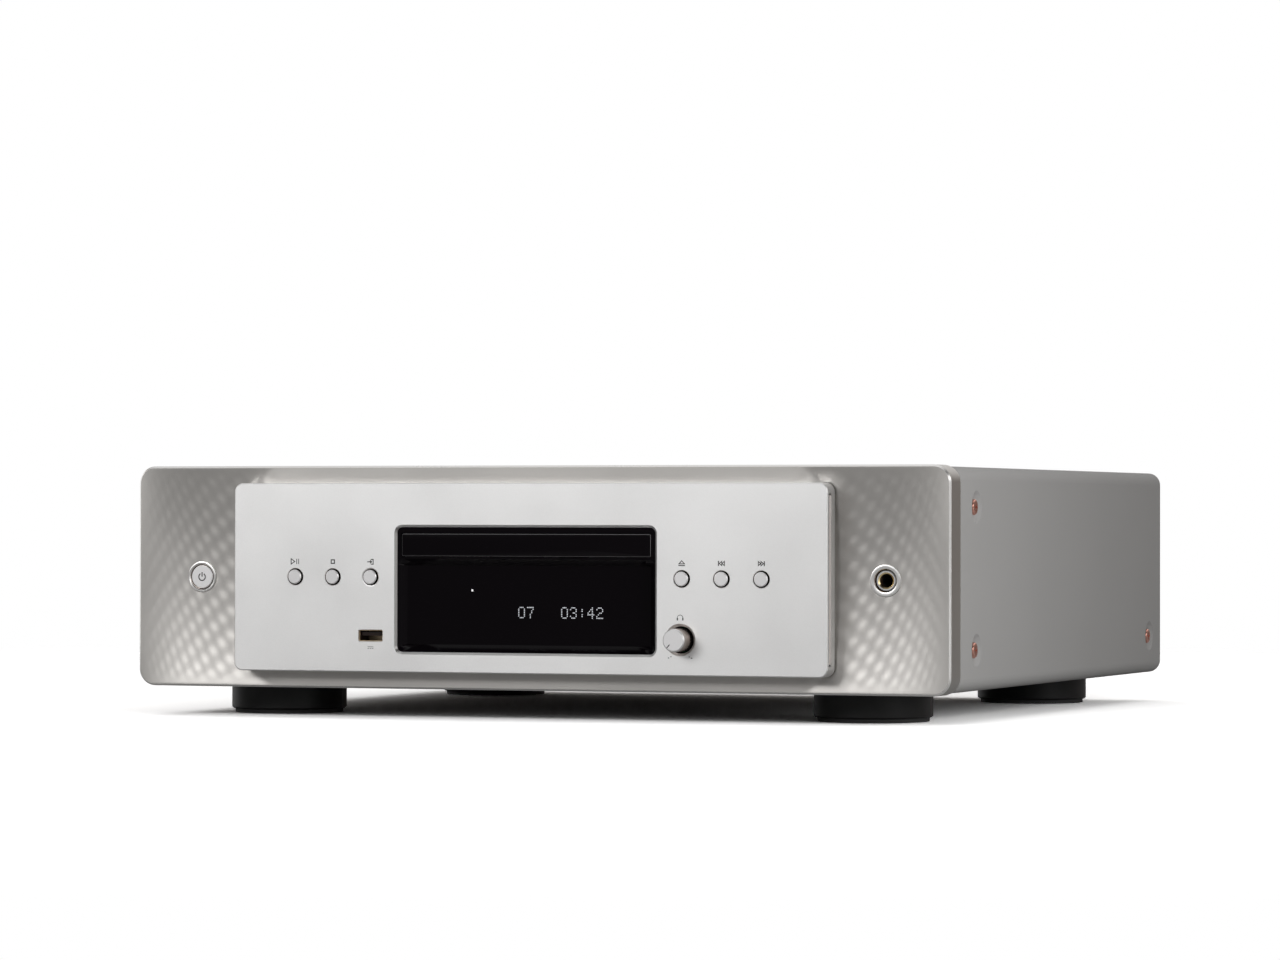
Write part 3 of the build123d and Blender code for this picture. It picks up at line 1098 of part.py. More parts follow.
def all_parts():
    """Every node of the player, by name."""
    nodes = {
        "front_panel": front_panel(),
        "front_plate": front_plate(),
        "light_guides": light_guides(),
        "display_window": display_window(),
        "display_module": display_module(),
        "front_board": front_board(),
        "tact_switches": tact_switches(),
        "power_ring": control_ring(-DISH_X, POWER_HOLE_R),
        "headphone_ring": control_ring(DISH_X, RING_HOLE_R),
        "headphone_bush": headphone_bush(),
        "headphone_jack": headphone_jack(),
        "headphone_board": headphone_board(),
        "power_switch_board": power_switch_board(),
        "usb_shell": usb_shell(),
        "usb_tongue": usb_tongue(),
        "level_potentiometer": level_potentiometer(),
        "level_knob": level_knob(),
        "power_button": power_button(),
        "top_cover": top_cover(),
        "chassis_base": chassis_base(),
        "cover_screws": cover_screws(),
        "foot_pads": foot_pads(),
        "foot_screws": foot_screws(),
        "rear_panel": rear_panel(),
        "output_jacks": output_jacks(),
        "jack_insulators": jack_insulators(),
        "optical_socket": optical_socket(),
        "remote_jacks": remote_jacks(),
        "ac_inlet": ac_inlet(),
        "ac_pins": ac_pins(),
        "rear_screws": rear_screws(),
        "disc_tray": disc_tray(),
        "tray_front": tray_front(),
        "loading_gear": loading_gear(),
        "motor_pulley": motor_pulley(),
        "loading_motor": loading_motor(),
        "loading_belt": loading_belt(),
        "loader_frame": loader_frame(),
        "clamp_bridge": clamp_bridge(),
        "clamper": clamper(),
        "deck_frame": deck_frame(),
        "guide_rods": guide_rods(),
        "deck_motors": deck_motors(),
        "spindle_hub": spindle_hub(),
        "laser_sled": laser_sled(),
        "objective_lens": objective_lens(),
        "sled_gear": sled_gear(),
        "power_transformer": power_transformer(),
        "power_board": power_board(),
        "smoothing_capacitors": smoothing_capacitors(),
        "main_board": main_board(),
        "main_board_chips": main_board_chips(),
        "ribbon_cables": ribbon_cables(),
    }
    for name, x in button_places():
        nodes[name] = front_button(x)
    nodes["feet"] = Compound([foot(x, y) for x, y in foot_places()])
    return nodes


os.makedirs("parts", exist_ok=True)
for node_name, shape in all_parts().items():
    export_step(shape, f"parts/{node_name}.step")
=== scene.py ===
import math

import bmesh
import bpy
import numpy as np
from mathutils import Matrix, Vector


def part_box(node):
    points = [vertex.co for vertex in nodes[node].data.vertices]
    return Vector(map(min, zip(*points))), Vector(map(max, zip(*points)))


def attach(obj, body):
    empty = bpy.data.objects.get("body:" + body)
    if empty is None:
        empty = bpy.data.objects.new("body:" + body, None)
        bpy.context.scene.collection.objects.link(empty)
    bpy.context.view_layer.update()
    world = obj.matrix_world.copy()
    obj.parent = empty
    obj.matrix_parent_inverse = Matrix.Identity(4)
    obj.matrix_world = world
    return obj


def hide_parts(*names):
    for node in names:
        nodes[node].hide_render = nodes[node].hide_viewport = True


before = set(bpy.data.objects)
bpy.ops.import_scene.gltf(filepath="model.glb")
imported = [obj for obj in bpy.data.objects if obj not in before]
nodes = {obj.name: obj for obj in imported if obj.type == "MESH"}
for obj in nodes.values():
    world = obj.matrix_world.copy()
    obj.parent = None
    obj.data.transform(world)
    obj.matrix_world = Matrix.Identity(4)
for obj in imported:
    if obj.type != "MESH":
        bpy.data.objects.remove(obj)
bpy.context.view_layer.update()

MM = 0.001

# ---------------------------------------------------------------- places, read from the frame

PLATE_LOW, PLATE_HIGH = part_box("front_plate")
PANEL_LOW, PANEL_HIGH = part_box("front_panel")
PLATE_FACE = PLATE_LOW.y
PLATE_X = PLATE_HIGH.x
RIM = PANEL_LOW.y
PANEL_BACK = PANEL_HIGH.y
PANEL_TOP = PANEL_HIGH.z
PANEL_BASE = PANEL_LOW.z
PANEL_X = PANEL_HIGH.x

# Front panel, as in the solid model
PANEL_CORNER = 9.0 * MM
PANEL_EDGE = 1.0 * MM
DISH_DEPTH = 3.9 * MM
DISH_X = PLATE_X + 25.3 * MM
DISH_HALF_W = 33.8 * MM
DISH_INNER_W = 38.0 * MM            # from the dish's middle to where it ends by the plate
DISH_FADE = 7.0 * MM                # the length over which it ends there
DISH_SPREAD = 0.8                   # how much further in it goes above and below the plate
DISH_MARGIN = 1.2 * MM
WING_WALL = 4.5 * MM
POCKET_RIM = 5.0 * MM
POCKET_GAP = 4.0 * MM               # wall between the middle opening and a pocket
PLATE_CORNER = 4.5 * MM
SEAT_INSET = 0.8 * MM
PLATE_LAP = 11.0 * MM
PLATE_LAP_TOP = 7.0 * MM
PLATE_LAP_LOW = 7.25 * MM
CUT_OVER = 5.0 * MM                 # how far a cutter stands out in front


# ---------------------------------------------------------------- material tools

def node(tree, kind, **settings):
    """Adds a shader node; a setting names one of its properties or input sockets."""
    made = tree.nodes.new(kind)
    for name, value in settings.items():
        if hasattr(made, name):
            setattr(made, name, value)
        else:
            made.inputs[name.replace("_", " ")].default_value = value
    return made


def object_noise(tree, scale, detail=3.0, stretch=(1, 1, 1)):
    """Noise fixed to the piece, with scale in cells per metre."""
    place = node(tree, "ShaderNodeTexCoord")
    mapping = node(tree, "ShaderNodeMapping")
    mapping.inputs["Scale"].default_value = stretch
    noise = node(tree, "ShaderNodeTexNoise", Scale=scale, Detail=detail)
    tree.links.new(place.outputs["Object"], mapping.inputs["Vector"])
    tree.links.new(mapping.outputs["Vector"], noise.inputs["Vector"])
    return noise.outputs["Fac"]


def ranged(tree, value, low, high, source=(0.3, 0.7)):
    """Maps a noise value to a range."""
    made = node(tree, "ShaderNodeMapRange", From_Min=source[0], From_Max=source[1],
                To_Min=low, To_Max=high)
    tree.links.new(value, made.inputs["Value"])
    return made.outputs["Result"]


def tinted(tree, value, colour, spread):
    """Colour that varies by a share of itself with a 0 to 1 value."""
    mix = node(tree, "ShaderNodeMix", data_type="RGBA")
    mix.inputs["A"].default_value = [c * (1 - spread) for c in colour] + [1]
    mix.inputs["B"].default_value = [min(1, c * (1 + spread)) for c in colour] + [1]
    tree.links.new(ranged(tree, value, 0, 1), mix.inputs["Factor"])
    return mix.outputs["Result"]


def surface(name, colour, metallic=0.0, roughness=0.5, rough_spread=0.05, tint=0.03,
            grain=2500.0, bump=0.1, depth=0.00003, cloud=18.0, **sockets):
    """A finish with fine grain in its relief, and slow variation in its colour and roughness."""
    material = bpy.data.materials.new(name)
    material.use_nodes = True
    tree = material.node_tree
    shader = tree.nodes["Principled BSDF"]
    shader.inputs["Metallic"].default_value = metallic
    for socket, value in sockets.items():
        shader.inputs[socket.replace("_", " ")].default_value = value
    slow = object_noise(tree, cloud, 4.0)
    fine = object_noise(tree, grain, 2.0)
    mixed = node(tree, "ShaderNodeMath", operation="ADD")
    half = node(tree, "ShaderNodeMath", operation="MULTIPLY")
    half.inputs[1].default_value = 0.5
    tree.links.new(slow, mixed.inputs[0])
    tree.links.new(fine, mixed.inputs[1])
    tree.links.new(mixed.outputs[0], half.inputs[0])
    tree.links.new(tinted(tree, half.outputs[0], colour, tint), shader.inputs["Base Color"])
    tree.links.new(ranged(tree, half.outputs[0], roughness - rough_spread,
                          roughness + rough_spread), shader.inputs["Roughness"])
    relief = node(tree, "ShaderNodeBump", Strength=bump, Distance=depth)
    tree.links.new(fine, relief.inputs["Height"])
    tree.links.new(relief.outputs["Normal"], shader.inputs["Normal"])
    return material


def turned(name, colour, centre, roughness=0.3, pitch=0.00022, depth=0.000012):
    """Lathe-turned metal: fine rings round the Y axis through centre."""
    material = surface(name, colour, metallic=1.0, roughness=roughness, grain=4000, bump=0.05)
    tree = material.node_tree
    shader = tree.nodes["Principled BSDF"]
    shader.inputs["Anisotropic"].default_value = 0.4
    place = node(tree, "ShaderNodeTexCoord")
    mapping = node(tree, "ShaderNodeMapping")
    mapping.inputs["Location"].default_value = [-c for c in centre]
    rings = node(tree, "ShaderNodeTexWave", wave_type="RINGS", rings_direction="Y",
                 Scale=1 / (pitch * 20), Distortion=0.4, Detail=1.0, Detail_Scale=2.0)
    relief = node(tree, "ShaderNodeBump", Strength=0.25, Distance=depth)
    tree.links.new(place.outputs["Object"], mapping.inputs["Vector"])
    tree.links.new(mapping.outputs["Vector"], rings.inputs["Vector"])
    tree.links.new(rings.outputs["Fac"], relief.inputs["Height"])
    before = shader.inputs["Normal"].links[0].from_socket
    tree.links.new(before, relief.inputs["Normal"])
    tree.links.new(relief.outputs["Normal"], shader.inputs["Normal"])
    return material


def glowing(name, colour, strength):
    """Faintly lit ink or lamp."""
    material = surface(name, colour, roughness=0.5, tint=0.04, bump=0.02)
    shader = material.node_tree.nodes["Principled BSDF"]
    shader.inputs["Emission Color"].default_value = (*colour, 1)
    shader.inputs["Emission Strength"].default_value = strength
    return material


# ---------------------------------------------------------------- materials

PANEL_METAL = surface("panel_metal", (0.51, 0.493, 0.472), metallic=1.0, roughness=0.42,
                      grain=2600, bump=0.22, depth=0.00004)
PLATE_METAL = surface("plate_metal", (0.93, 0.925, 0.918), metallic=1.0, roughness=0.42,
                      grain=1700, bump=0.6, depth=0.00004)
COVER_PAINT = surface("cover_paint", (0.235, 0.232, 0.228), metallic=0.0, roughness=0.55,
                      grain=1800, bump=0.18, depth=0.00003, Specular_IOR_Level=0.12)
EDGE_METAL = surface("cut_edge_metal", (0.93, 0.915, 0.895), metallic=1.0, roughness=0.3,
                     bump=0.08)
# Darker brownish copy of the turned metal for cap sides and ring mouths: painted shade, as they
# are the same metal as the faces.
SIDE_METAL_PAINTED_SHADE = surface("cap_side_painted_shade", (0.55, 0.49, 0.455), metallic=1.0, roughness=0.25,
                     bump=0.05)
# Near-black brown put on the walls of holes and bores: painted shade, not a colour of the metal.
BORE_PAINTED_SHADE = surface("bore_painted_shade", (0.022, 0.013, 0.010), roughness=0.55, bump=0.1,
                    Specular_IOR_Level=0.2)
BLACK_GLOSS = surface("black_gloss", (0.0020, 0.0012, 0.0020), roughness=0.06, rough_spread=0.02,
                      bump=0.01, Specular_IOR_Level=0.2)
# Mid grey for the tray door's rounded front edge: a painted highlight on the door's own gloss
# black.
DOOR_EDGE_PAINTED_HIGHLIGHT = surface("door_edge_painted_highlight", (0.13, 0.125, 0.13), roughness=0.25, bump=0.01)
# Darker copy of the plate's metal for the right-facing left lip of the window opening: painted
# shade.
LIP_PAINTED_SHADE = surface("window_lip_painted_shade", (0.40, 0.39, 0.38), metallic=1.0, roughness=0.35,
                    bump=0.08)
BUSH_METAL = surface("bush_metal", (0.88, 0.87, 0.86), metallic=1.0, roughness=0.3, bump=0.05)
FOOT_BLACK = surface("foot_black", (0.005, 0.005, 0.005), roughness=0.42, bump=0.15,
                     Specular_IOR_Level=0.4)
RUBBER = surface("rubber", (0.02, 0.02, 0.02), roughness=0.75, bump=0.3)
BLACK_PLASTIC = surface("black_plastic", (0.02, 0.02, 0.021), roughness=0.5, bump=0.25)
GREY_PLASTIC = surface("grey_plastic", (0.55, 0.55, 0.53), roughness=0.45, bump=0.15)
ACETAL = surface("acetal", (0.80, 0.79, 0.75), roughness=0.35, bump=0.1)
COPPER = surface("copper_plate", (0.78, 0.40, 0.32), metallic=1.0, roughness=0.25, bump=0.08)
GOLD = surface("gold_plate", (0.90, 0.72, 0.40), metallic=1.0, roughness=0.2, bump=0.05)
ZINC = surface("zinc_steel", (0.55, 0.55, 0.54), metallic=1.0, roughness=0.4, tint=0.08,
               cloud=60, bump=0.12)
SOCKET_BRASS = surface("socket_brass", (0.72, 0.56, 0.38), metallic=1.0, roughness=0.35,
                       bump=0.05)
# Dark brown: the USB tongue's own colour, and painted shade on the USB shell's inner walls.
SOCKET_BROWN_AND_SHADE = surface("socket_brown_and_painted_shade", (0.012, 0.006, 0.004), roughness=0.5, bump=0.1,
                       Specular_IOR_Level=0.2)
STEEL = surface("polished_steel", (0.70, 0.70, 0.69), metallic=1.0, roughness=0.15, bump=0.04)
BOARD_GREEN = surface("board_green", (0.02, 0.14, 0.06), roughness=0.35, cloud=120, tint=0.15)
REAR_BLACK = surface("rear_black", (0.022, 0.022, 0.022), roughness=0.45, grain=1600, bump=0.3)
LIGHT_BAR = surface("light_bar", (0.34, 0.31, 0.29), roughness=0.25, grain=900, bump=0.05,
                    Coat_Weight=0.3)
CAN_BLUE = surface("can_sleeve", (0.02, 0.03, 0.09), roughness=0.3, bump=0.05)
POTTING = surface("potting", (0.03, 0.03, 0.035), roughness=0.5, cloud=60, bump=0.3)
LENS_GLASS = surface("lens_glass", (0.12, 0.08, 0.16), roughness=0.05, bump=0.01, Coat_Weight=1.0)
RIBBON = surface("ribbon", (0.72, 0.72, 0.69), roughness=0.4, grain=500, bump=0.1)
DISPLAY_GLASS = surface("display_glass", (0.012, 0.012, 0.016), roughness=0.08, bump=0.01)
PRINT = surface("print_grey", (0.012, 0.011, 0.011), roughness=0.6, tint=0.1, bump=0.1)
DIGIT_GLOW = glowing("digit_glow", (0.62, 0.64, 0.68), 0.28)
LAMP_GLOW = glowing("lamp_glow", (0.75, 0.75, 0.75), 0.5)


def centre_of(name):
    """Middle of a node's box."""
    low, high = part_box(name)
    return (low + high) / 2


BUTTONS = ["button_play_pause", "button_stop", "button_input",
           "button_eject", "button_previous", "button_next"]

TURNED_CAPS = BUTTONS + ["power_button", "level_knob"]

# The front panel, tray front, both rings and headphone bush are replaced further down
FINISHES = {
    PLATE_METAL: ["front_plate"],
    COVER_PAINT: ["top_cover"],
    BLACK_GLOSS: ["display_window"],
    FOOT_BLACK: ["feet"],
    RUBBER: ["foot_pads", "loading_belt"],
    BLACK_PLASTIC: ["tact_switches", "headphone_jack", "optical_socket",
                    "remote_jacks", "ac_inlet", "disc_tray", "loader_frame", "spindle_hub",
                    "clamper", "main_board_chips"],
    GREY_PLASTIC: ["jack_insulators"],
    ACETAL: ["loading_gear", "motor_pulley", "sled_gear"],
    COPPER: ["cover_screws", "rear_screws"],
    GOLD: ["output_jacks"],
    ZINC: ["chassis_base", "clamp_bridge", "deck_frame", "foot_screws", "loading_motor",
           "deck_motors", "laser_sled", "level_potentiometer"],
    STEEL: ["ac_pins", "guide_rods"],
    SOCKET_BRASS: ["usb_shell"],
    SOCKET_BROWN_AND_SHADE: ["usb_tongue"],
    BOARD_GREEN: ["front_board", "headphone_board", "power_switch_board", "power_board",
                  "main_board"],
    REAR_BLACK: ["rear_panel"],
    LIGHT_BAR: ["light_guides"],
    CAN_BLUE: ["smoothing_capacitors"],
    POTTING: ["power_transformer"],
    LENS_GLASS: ["objective_lens"],
    RIBBON: ["ribbon_cables"],
    DISPLAY_GLASS: ["display_module"],
}

for finish, names in FINISHES.items():
    for name in names:
        nodes[name].data.materials.clear()
        nodes[name].data.materials.append(finish)

for name in TURNED_CAPS:
    cap = turned(name + "_metal", (0.97, 0.96, 0.96), centre_of(name), roughness=0.46)
    nodes[name].data.materials.clear()
    nodes[name].data.materials.append(cap)
RING_METALS = {name: turned(name + "_metal", (0.95, 0.94, 0.92), centre_of(name), roughness=0.36)
               for name in ("power_ring", "headphone_ring")}


def lined(name, finish, chosen):
    """Gives a second finish to the faces of a node that chosen(middle, normal) picks."""
    thing = nodes[name]
    thing.data.materials.append(finish)
    index = len(thing.data.materials) - 1
    turn = thing.matrix_world.to_3x3()
    for face in thing.data.polygons:
        if chosen(thing.matrix_world @ face.center, (turn @ face.normal).normalized()):
            face.material_index = index


WALL_NORMAL_Y = 0.3                 # a face whose normal has less along Y runs front to back
LIP_NORMAL_X = (0.3, 0.95)          # a slanted face that looks to the right
LIP_W = 2.0 * MM
HOLE_MARGIN = 1.4 * MM              # from a cap's radius to past the wall of its hole


def radius_of(name):
    """Half the width of a node's box."""
    low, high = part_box(name)
    return (high.x - low.x) / 2


def along_wall(normal):
    """Whether a face runs front to back."""
    return abs(normal.y) < WALL_NORMAL_Y


FRONT_HOLES = [(centre_of(name), radius_of(name) + HOLE_MARGIN)
               for name in BUTTONS + ["level_knob"]]


def in_front_hole(middle, normal):
    """Whether a face of the plate is the wall of a button hole or of the knob's well; these walls
    get painted shade.
    """
    return along_wall(normal) and any(
        math.hypot(middle.x - centre.x, middle.z - centre.z) < reach
        for centre, reach in FRONT_HOLES)


WINDOW_LOW, WINDOW_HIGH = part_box("display_window")


def on_left_lip(middle, normal):
    """Whether a face is the slanted left edge of the window's opening in the plate, which is
    painted darker as shade.
    """
    return (LIP_NORMAL_X[0] < normal.x < LIP_NORMAL_X[1]
            and abs(middle.x - WINDOW_LOW.x) < LIP_W and WINDOW_LOW.z < middle.z < WINDOW_HIGH.z)


# The walls of the button holes and the knob's well are painted dark as shade.
lined("front_plate", BORE_PAINTED_SHADE, in_front_hole)
# The window opening's left lip is painted darker as shade.
lined("front_plate", LIP_PAINTED_SHADE, on_left_lip)
# The sides of the caps and the knob get the darker copy of their metal as painted shade.
for name in TURNED_CAPS:
    lined(name, SIDE_METAL_PAINTED_SHADE, lambda middle, normal: along_wall(normal))
# The USB shell's inner walls are painted dark brown as shade.
lined("usb_shell", SOCKET_BROWN_AND_SHADE, lambda middle, normal: along_wall(normal))


# ---------------------------------------------------------------- mesh tools

def piece(name, mesh_data, body, material, smooth_angle=None):
    """Links a finished bmesh as a piece that rides on a body. With a smooth_angle in degrees,
    it is shaded smooth and only edges above that angle stay sharp."""
    mesh = bpy.data.meshes.new(name)
    mesh_data.to_mesh(mesh)
    mesh_data.free()
    mesh.materials.append(material)
    made = bpy.data.objects.new(name, mesh)
    bpy.context.scene.collection.objects.link(made)
    if smooth_angle is not None:
        mesh.polygons.foreach_set("use_smooth", [True] * len(mesh.polygons))
        mesh.set_sharp_from_angle(angle=math.radians(smooth_angle))
    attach(made, body)
    return made


def prism(shape, outline, y0, y1):
    """Closed prism of a front-view outline (x, z) from y0 back to y1."""
    front = [shape.verts.new((x, y0, z)) for x, z in outline]
    back = [shape.verts.new((x, y1, z)) for x, z in outline]
    shape.faces.new(front)
    shape.faces.new(back[::-1])
    for i in range(len(outline)):
        j = (i + 1) % len(outline)
        shape.faces.new((front[j], front[i], back[i], back[j]))


MITRE_LIMIT = 0.4                   # keeps a sharp corner's mitre from running out


def stroke(shape, path, width, y0, y1, closed=False):
    """Flat ribbon prism of even width along a front-view path (x, z), with mitred corners."""
    count = len(path)
    points = [Vector(p) for p in path]
    left, right = [], []
    for i, point in enumerate(points):
        before = points[i - 1] if closed or i > 0 else None
        after = points[(i + 1) % count] if closed or i < count - 1 else None
        directions = [(point - before).normalized()] if before is not None else []
        if after is not None:
            directions.append((after - point).normalized())
        along = sum(directions, Vector((0, 0))).normalized()
        normal = Vector((-along.y, along.x))
        side = Vector((-directions[0].y, directions[0].x))
        reach = width / 2 / max(MITRE_LIMIT, normal.dot(side))
        left.append(point + normal * reach)
        right.append(point - normal * reach)
    for i in range(count if closed else count - 1):
        j = (i + 1) % count
        prism(shape, [right[i], right[j], left[j], left[i]], y0, y1)


def arc(x, z, r, start, end, steps=24):
    """Points along an arc, angles in degrees from +X towards +Z."""
    angles = [math.radians(start + (end - start) * i / steps) for i in range(steps + 1)]
    return [(x + r * math.cos(a), z + r * math.sin(a)) for a in angles]


def circle(x, z, r, steps=72):
    """Points round a full circle."""
    return arc(x, z, r, 0, 360 - 360 / steps, steps - 1)


def rounded_outline(low, high, corner, inset, steps):
    """Outline (x, z) of a box with rounded corners, shrunk by inset."""
    x0, x1 = low.x + corner, high.x - corner
    z0, z1 = low.z + corner, high.z - corner
    corners = [(x1, z1, 0), (x0, z1, 90), (x0, z0, 180), (x1, z0, 270)]
    return [p for x, z, a in corners for p in arc(x, z, corner - inset, a, a + 90, steps)]


def skinned(low, high, corner, rings, steps):
    """Closed shape through rounded outlines, each ring a (y, inset), from back to front."""
    shape = bmesh.new()
    loops = [[shape.verts.new((x, y, z))
              for x, z in rounded_outline(low, high, corner, inset, steps)] for y, inset in rings]
    for a, b in zip(loops, loops[1:]):
        for i in range(len(a)):
            j = (i + 1) % len(a)
            shape.faces.new((a[i], a[j], b[j], b[i]))
    shape.faces.new(loops[0][::-1])
    shape.faces.new(loops[-1])
    bmesh.ops.recalc_face_normals(shape, faces=shape.faces)
    return shape


# ---------------------------------------------------------------- front panel with dimpled wings

# The dimples are three crossed waves. Distances in this group are in millimetres.
LATTICE_1 = (0.0769, -0.0799)       # the first two waves' cycles per millimetre across and up
LATTICE_2 = (-0.154, -0.080)
SLOPE_1 = 0.029                     # steepest slope of each wave
SLOPE_2 = 0.018
SLOPE_3 = 0.010
CROWDING = (0.42, 0.85)             # lattice's width at the outer edge, and its gain inwards
WING_W = 56.0                       # width over which the lattice widens
OUTER_CROSSED = 0.4                 # share of the first and third wave left at the outer edge
OUTER_CROSSED_TO = (5, 45)          # where that share grows to the whole, from the outer edge
OUTER_WAVES = 0.75                  # share of all waves left at the outer edge
OUTER_WAVES_TO = (5, 40)
SIDE_START = (1.5, 9)               # where the waves begin, from the outer edge
END_START = (1.0, 9.0)              # the same, from the top and the base
TOP_LOSS = 0.3                      # share of the waves lost at the top
TOP_LOSS_FROM = (92, 120)           # heights between which it is lost
SEAT_TOLERANCE = 0.005


def smooth_step(low, high, value):
    """0 below low, 1 above high, smooth between."""
    t = np.clip((value - low) / (high - low), 0, 1)
    return t * t * (3 - 2 * t)


def seat_of_plate(x, z):
    """1 where the flat seat of the plate is, which ends a little inside the plate's outline."""
    corner = PLATE_CORNER + SEAT_INSET
    across = np.abs(x) - (PLATE_X - SEAT_INSET - corner)
    up = np.abs(z - (PLATE_LOW.z + PLATE_HIGH.z) / 2)
    up = up - ((PLATE_HIGH.z - PLATE_LOW.z) / 2 - SEAT_INSET - corner)
    outside = (np.hypot(np.maximum(across, 0), np.maximum(up, 0))
               + np.minimum(np.maximum(across, up), 0) - corner)
    return (outside < SEAT_TOLERANCE * MM).astype(float)


def panel_face(x, z):
    """Y of the panel's front face: flat strips, and a dimpled dish in each wing."""
    mid_z = (PANEL_BASE + PANEL_TOP) / 2
    half_h = (PANEL_TOP - PANEL_BASE) / 2 - DISH_MARGIN
    across = np.abs(x) - DISH_X
    past_plate = np.maximum(z - PLATE_HIGH.z, PLATE_LOW.z - z)
    upright = np.clip(1 - ((z - mid_z) / half_h) ** 2, 0, 1)
    outward = np.clip(1 - (across / DISH_HALF_W) ** 2, 0, 1)
    inner_reach = DISH_INNER_W + DISH_SPREAD * np.maximum(past_plate, 0)
    inward = 1 - smooth_step(inner_reach - DISH_FADE, inner_reach, -across)
    level = np.where(across > 0, outward, inward)
    off_seat = 1 - seat_of_plate(x, z)
    depth = DISH_DEPTH * upright * level * off_seat

    from_edge = (PANEL_X - np.abs(x)) / MM
    low, gain = CROWDING
    inset = np.clip(from_edge, 0, 2 * WING_W)
    u = WING_W / gain * np.log((low + gain * inset / WING_W) / low)
    v = z / MM
    phase_1 = 2 * math.pi * (LATTICE_1[0] * u + LATTICE_1[1] * v)
    phase_2 = 2 * math.pi * (LATTICE_2[0] * u + LATTICE_2[1] * v)
    third = LATTICE_1[1] + LATTICE_2[1]
    crossed = OUTER_CROSSED + (1 - OUTER_CROSSED) * smooth_step(*OUTER_CROSSED_TO, from_edge)
    wave = (crossed * (SLOPE_1 * np.sin(phase_1) / LATTICE_1[1]
                       + SLOPE_3 * np.sin(phase_1 + phase_2) / third)
            + SLOPE_2 * np.sin(phase_2) / LATTICE_2[1]) / (2 * math.pi) * MM
    strength = OUTER_WAVES + (1 - OUTER_WAVES) * smooth_step(*OUTER_WAVES_TO, from_edge)
    strength = strength * smooth_step(*SIDE_START, from_edge)
    strength = strength * smooth_step(*END_START, (PANEL_TOP - z) / MM)
    strength = strength * smooth_step(*END_START, (z - PANEL_BASE) / MM)
    strength = strength * (1 - TOP_LOSS * smooth_step(*TOP_LOSS_FROM, v))
    return RIM + depth + wave * strength * off_seat


def spaced(stops):
    """Coordinates from (end, step) pairs, starting at the first end."""
    values = [stops[0][0]]
    for end, step in stops[1:]:
        count = max(1, round((end - values[-1]) / step))
        first = values[-1]
        values += [first + (end - first) * (i + 1) / count for i in range(count)]
    return values


GRID = 0.8 * MM
GRID_MIDDLE = 9.0 * MM              # across the plate's middle, where the face is flat
FLAT_TO = PLATE_X - 22.0 * MM
SEAT_STEP = 0.02 * MM               # width of the step down from the plate's seat
BLOCK_OVER = 2.0 * MM               # how far the block stands out past the panel's outline


def panel_block():
    """Closed block whose front is the panel's face, larger than the panel all round."""
    fine = GRID
    seat_x, seat_low = PLATE_X - SEAT_INSET, PLATE_LOW.z + SEAT_INSET
    seat_high = PLATE_HIGH.z - SEAT_INSET
    right = spaced([(0, 0), (FLAT_TO, GRID_MIDDLE), (seat_x, fine),
                    (seat_x + SEAT_STEP, SEAT_STEP), (PANEL_X + BLOCK_OVER, fine)])
    xs = [-x for x in reversed(right[1:])] + right
    zs = spaced([(PANEL_BASE - BLOCK_OVER, 0), (seat_low - SEAT_STEP, fine), (seat_low, SEAT_STEP),
                 (seat_high, fine), (seat_high + SEAT_STEP, SEAT_STEP),
                 (PANEL_TOP + BLOCK_OVER, fine)])
    grid_x, grid_z = np.meshgrid(np.array(xs), np.array(zs), indexing="ij")
    grid_y = panel_face(grid_x, grid_z)
    block = bmesh.new()
    rows = [[block.verts.new((grid_x[i, j], grid_y[i, j], grid_z[i, j])) for j in range(len(zs))]
            for i in range(len(xs))]
    for i in range(len(xs) - 1):
        for j in range(len(zs) - 1):
            block.faces.new((rows[i][j], rows[i + 1][j], rows[i + 1][j + 1], rows[i][j + 1]))
    last_i, last_j = len(xs) - 1, len(zs) - 1
    edge = [(i, 0) for i in range(last_i)] + [(last_i, j) for j in range(last_j)]
    edge += [(i, last_j) for i in range(last_i, 0, -1)] + [(0, j) for j in range(last_j, 0, -1)]
    front = [rows[i][j] for i, j in edge]
    back = [block.verts.new((v.co.x, PANEL_BACK, v.co.z)) for v in front]
    for i in range(len(edge)):
        j = (i + 1) % len(edge)
        block.faces.new((front[j], front[i], back[i], back[j]))
    block.faces.new(back[::-1])
    bmesh.ops.recalc_face_normals(block, faces=block.faces)
    return block


PANEL_CORNER_STEPS = 10
PANEL_SHARP = 24                    # degrees above which an edge of the panel stays sharp


def panel_envelope():
    """Rounded block with the slanted front edge, a little longer than the panel at both ends."""
    e = PANEL_EDGE
    rings = [(PANEL_BACK + MM, 0.0), (RIM + e, 0.0), (RIM - 2 * e, 3 * e)]
    return skinned(PANEL_LOW, PANEL_HIGH, PANEL_CORNER, rings, PANEL_CORNER_STEPS)


def panel_cutters():
    """What is cut out of the panel: the middle opening and a pocket behind each wing."""
    shape = bmesh.new()
    x = PLATE_X - PLATE_LAP
    z0, z1 = PLATE_LOW.z + PLATE_LAP_LOW, PLATE_HIGH.z - PLATE_LAP_TOP
    prism(shape, [(-x, z0), (x, z0), (x, z1), (-x, z1)], RIM - CUT_OVER, PANEL_BACK + MM)
    inner, outer = x + POCKET_GAP, PANEL_X - POCKET_RIM
    low, high = PANEL_BASE + POCKET_RIM, PANEL_TOP - POCKET_RIM
    pocket_y = RIM + DISH_DEPTH + WING_WALL
    for side in (-1, 1):
        prism(shape, [(side * inner, low), (side * outer, low), (side * outer, high),
                      (side * inner, high)], pocket_y, PANEL_BACK + MM)
    bmesh.ops.recalc_face_normals(shape, faces=shape.faces)
    return shape


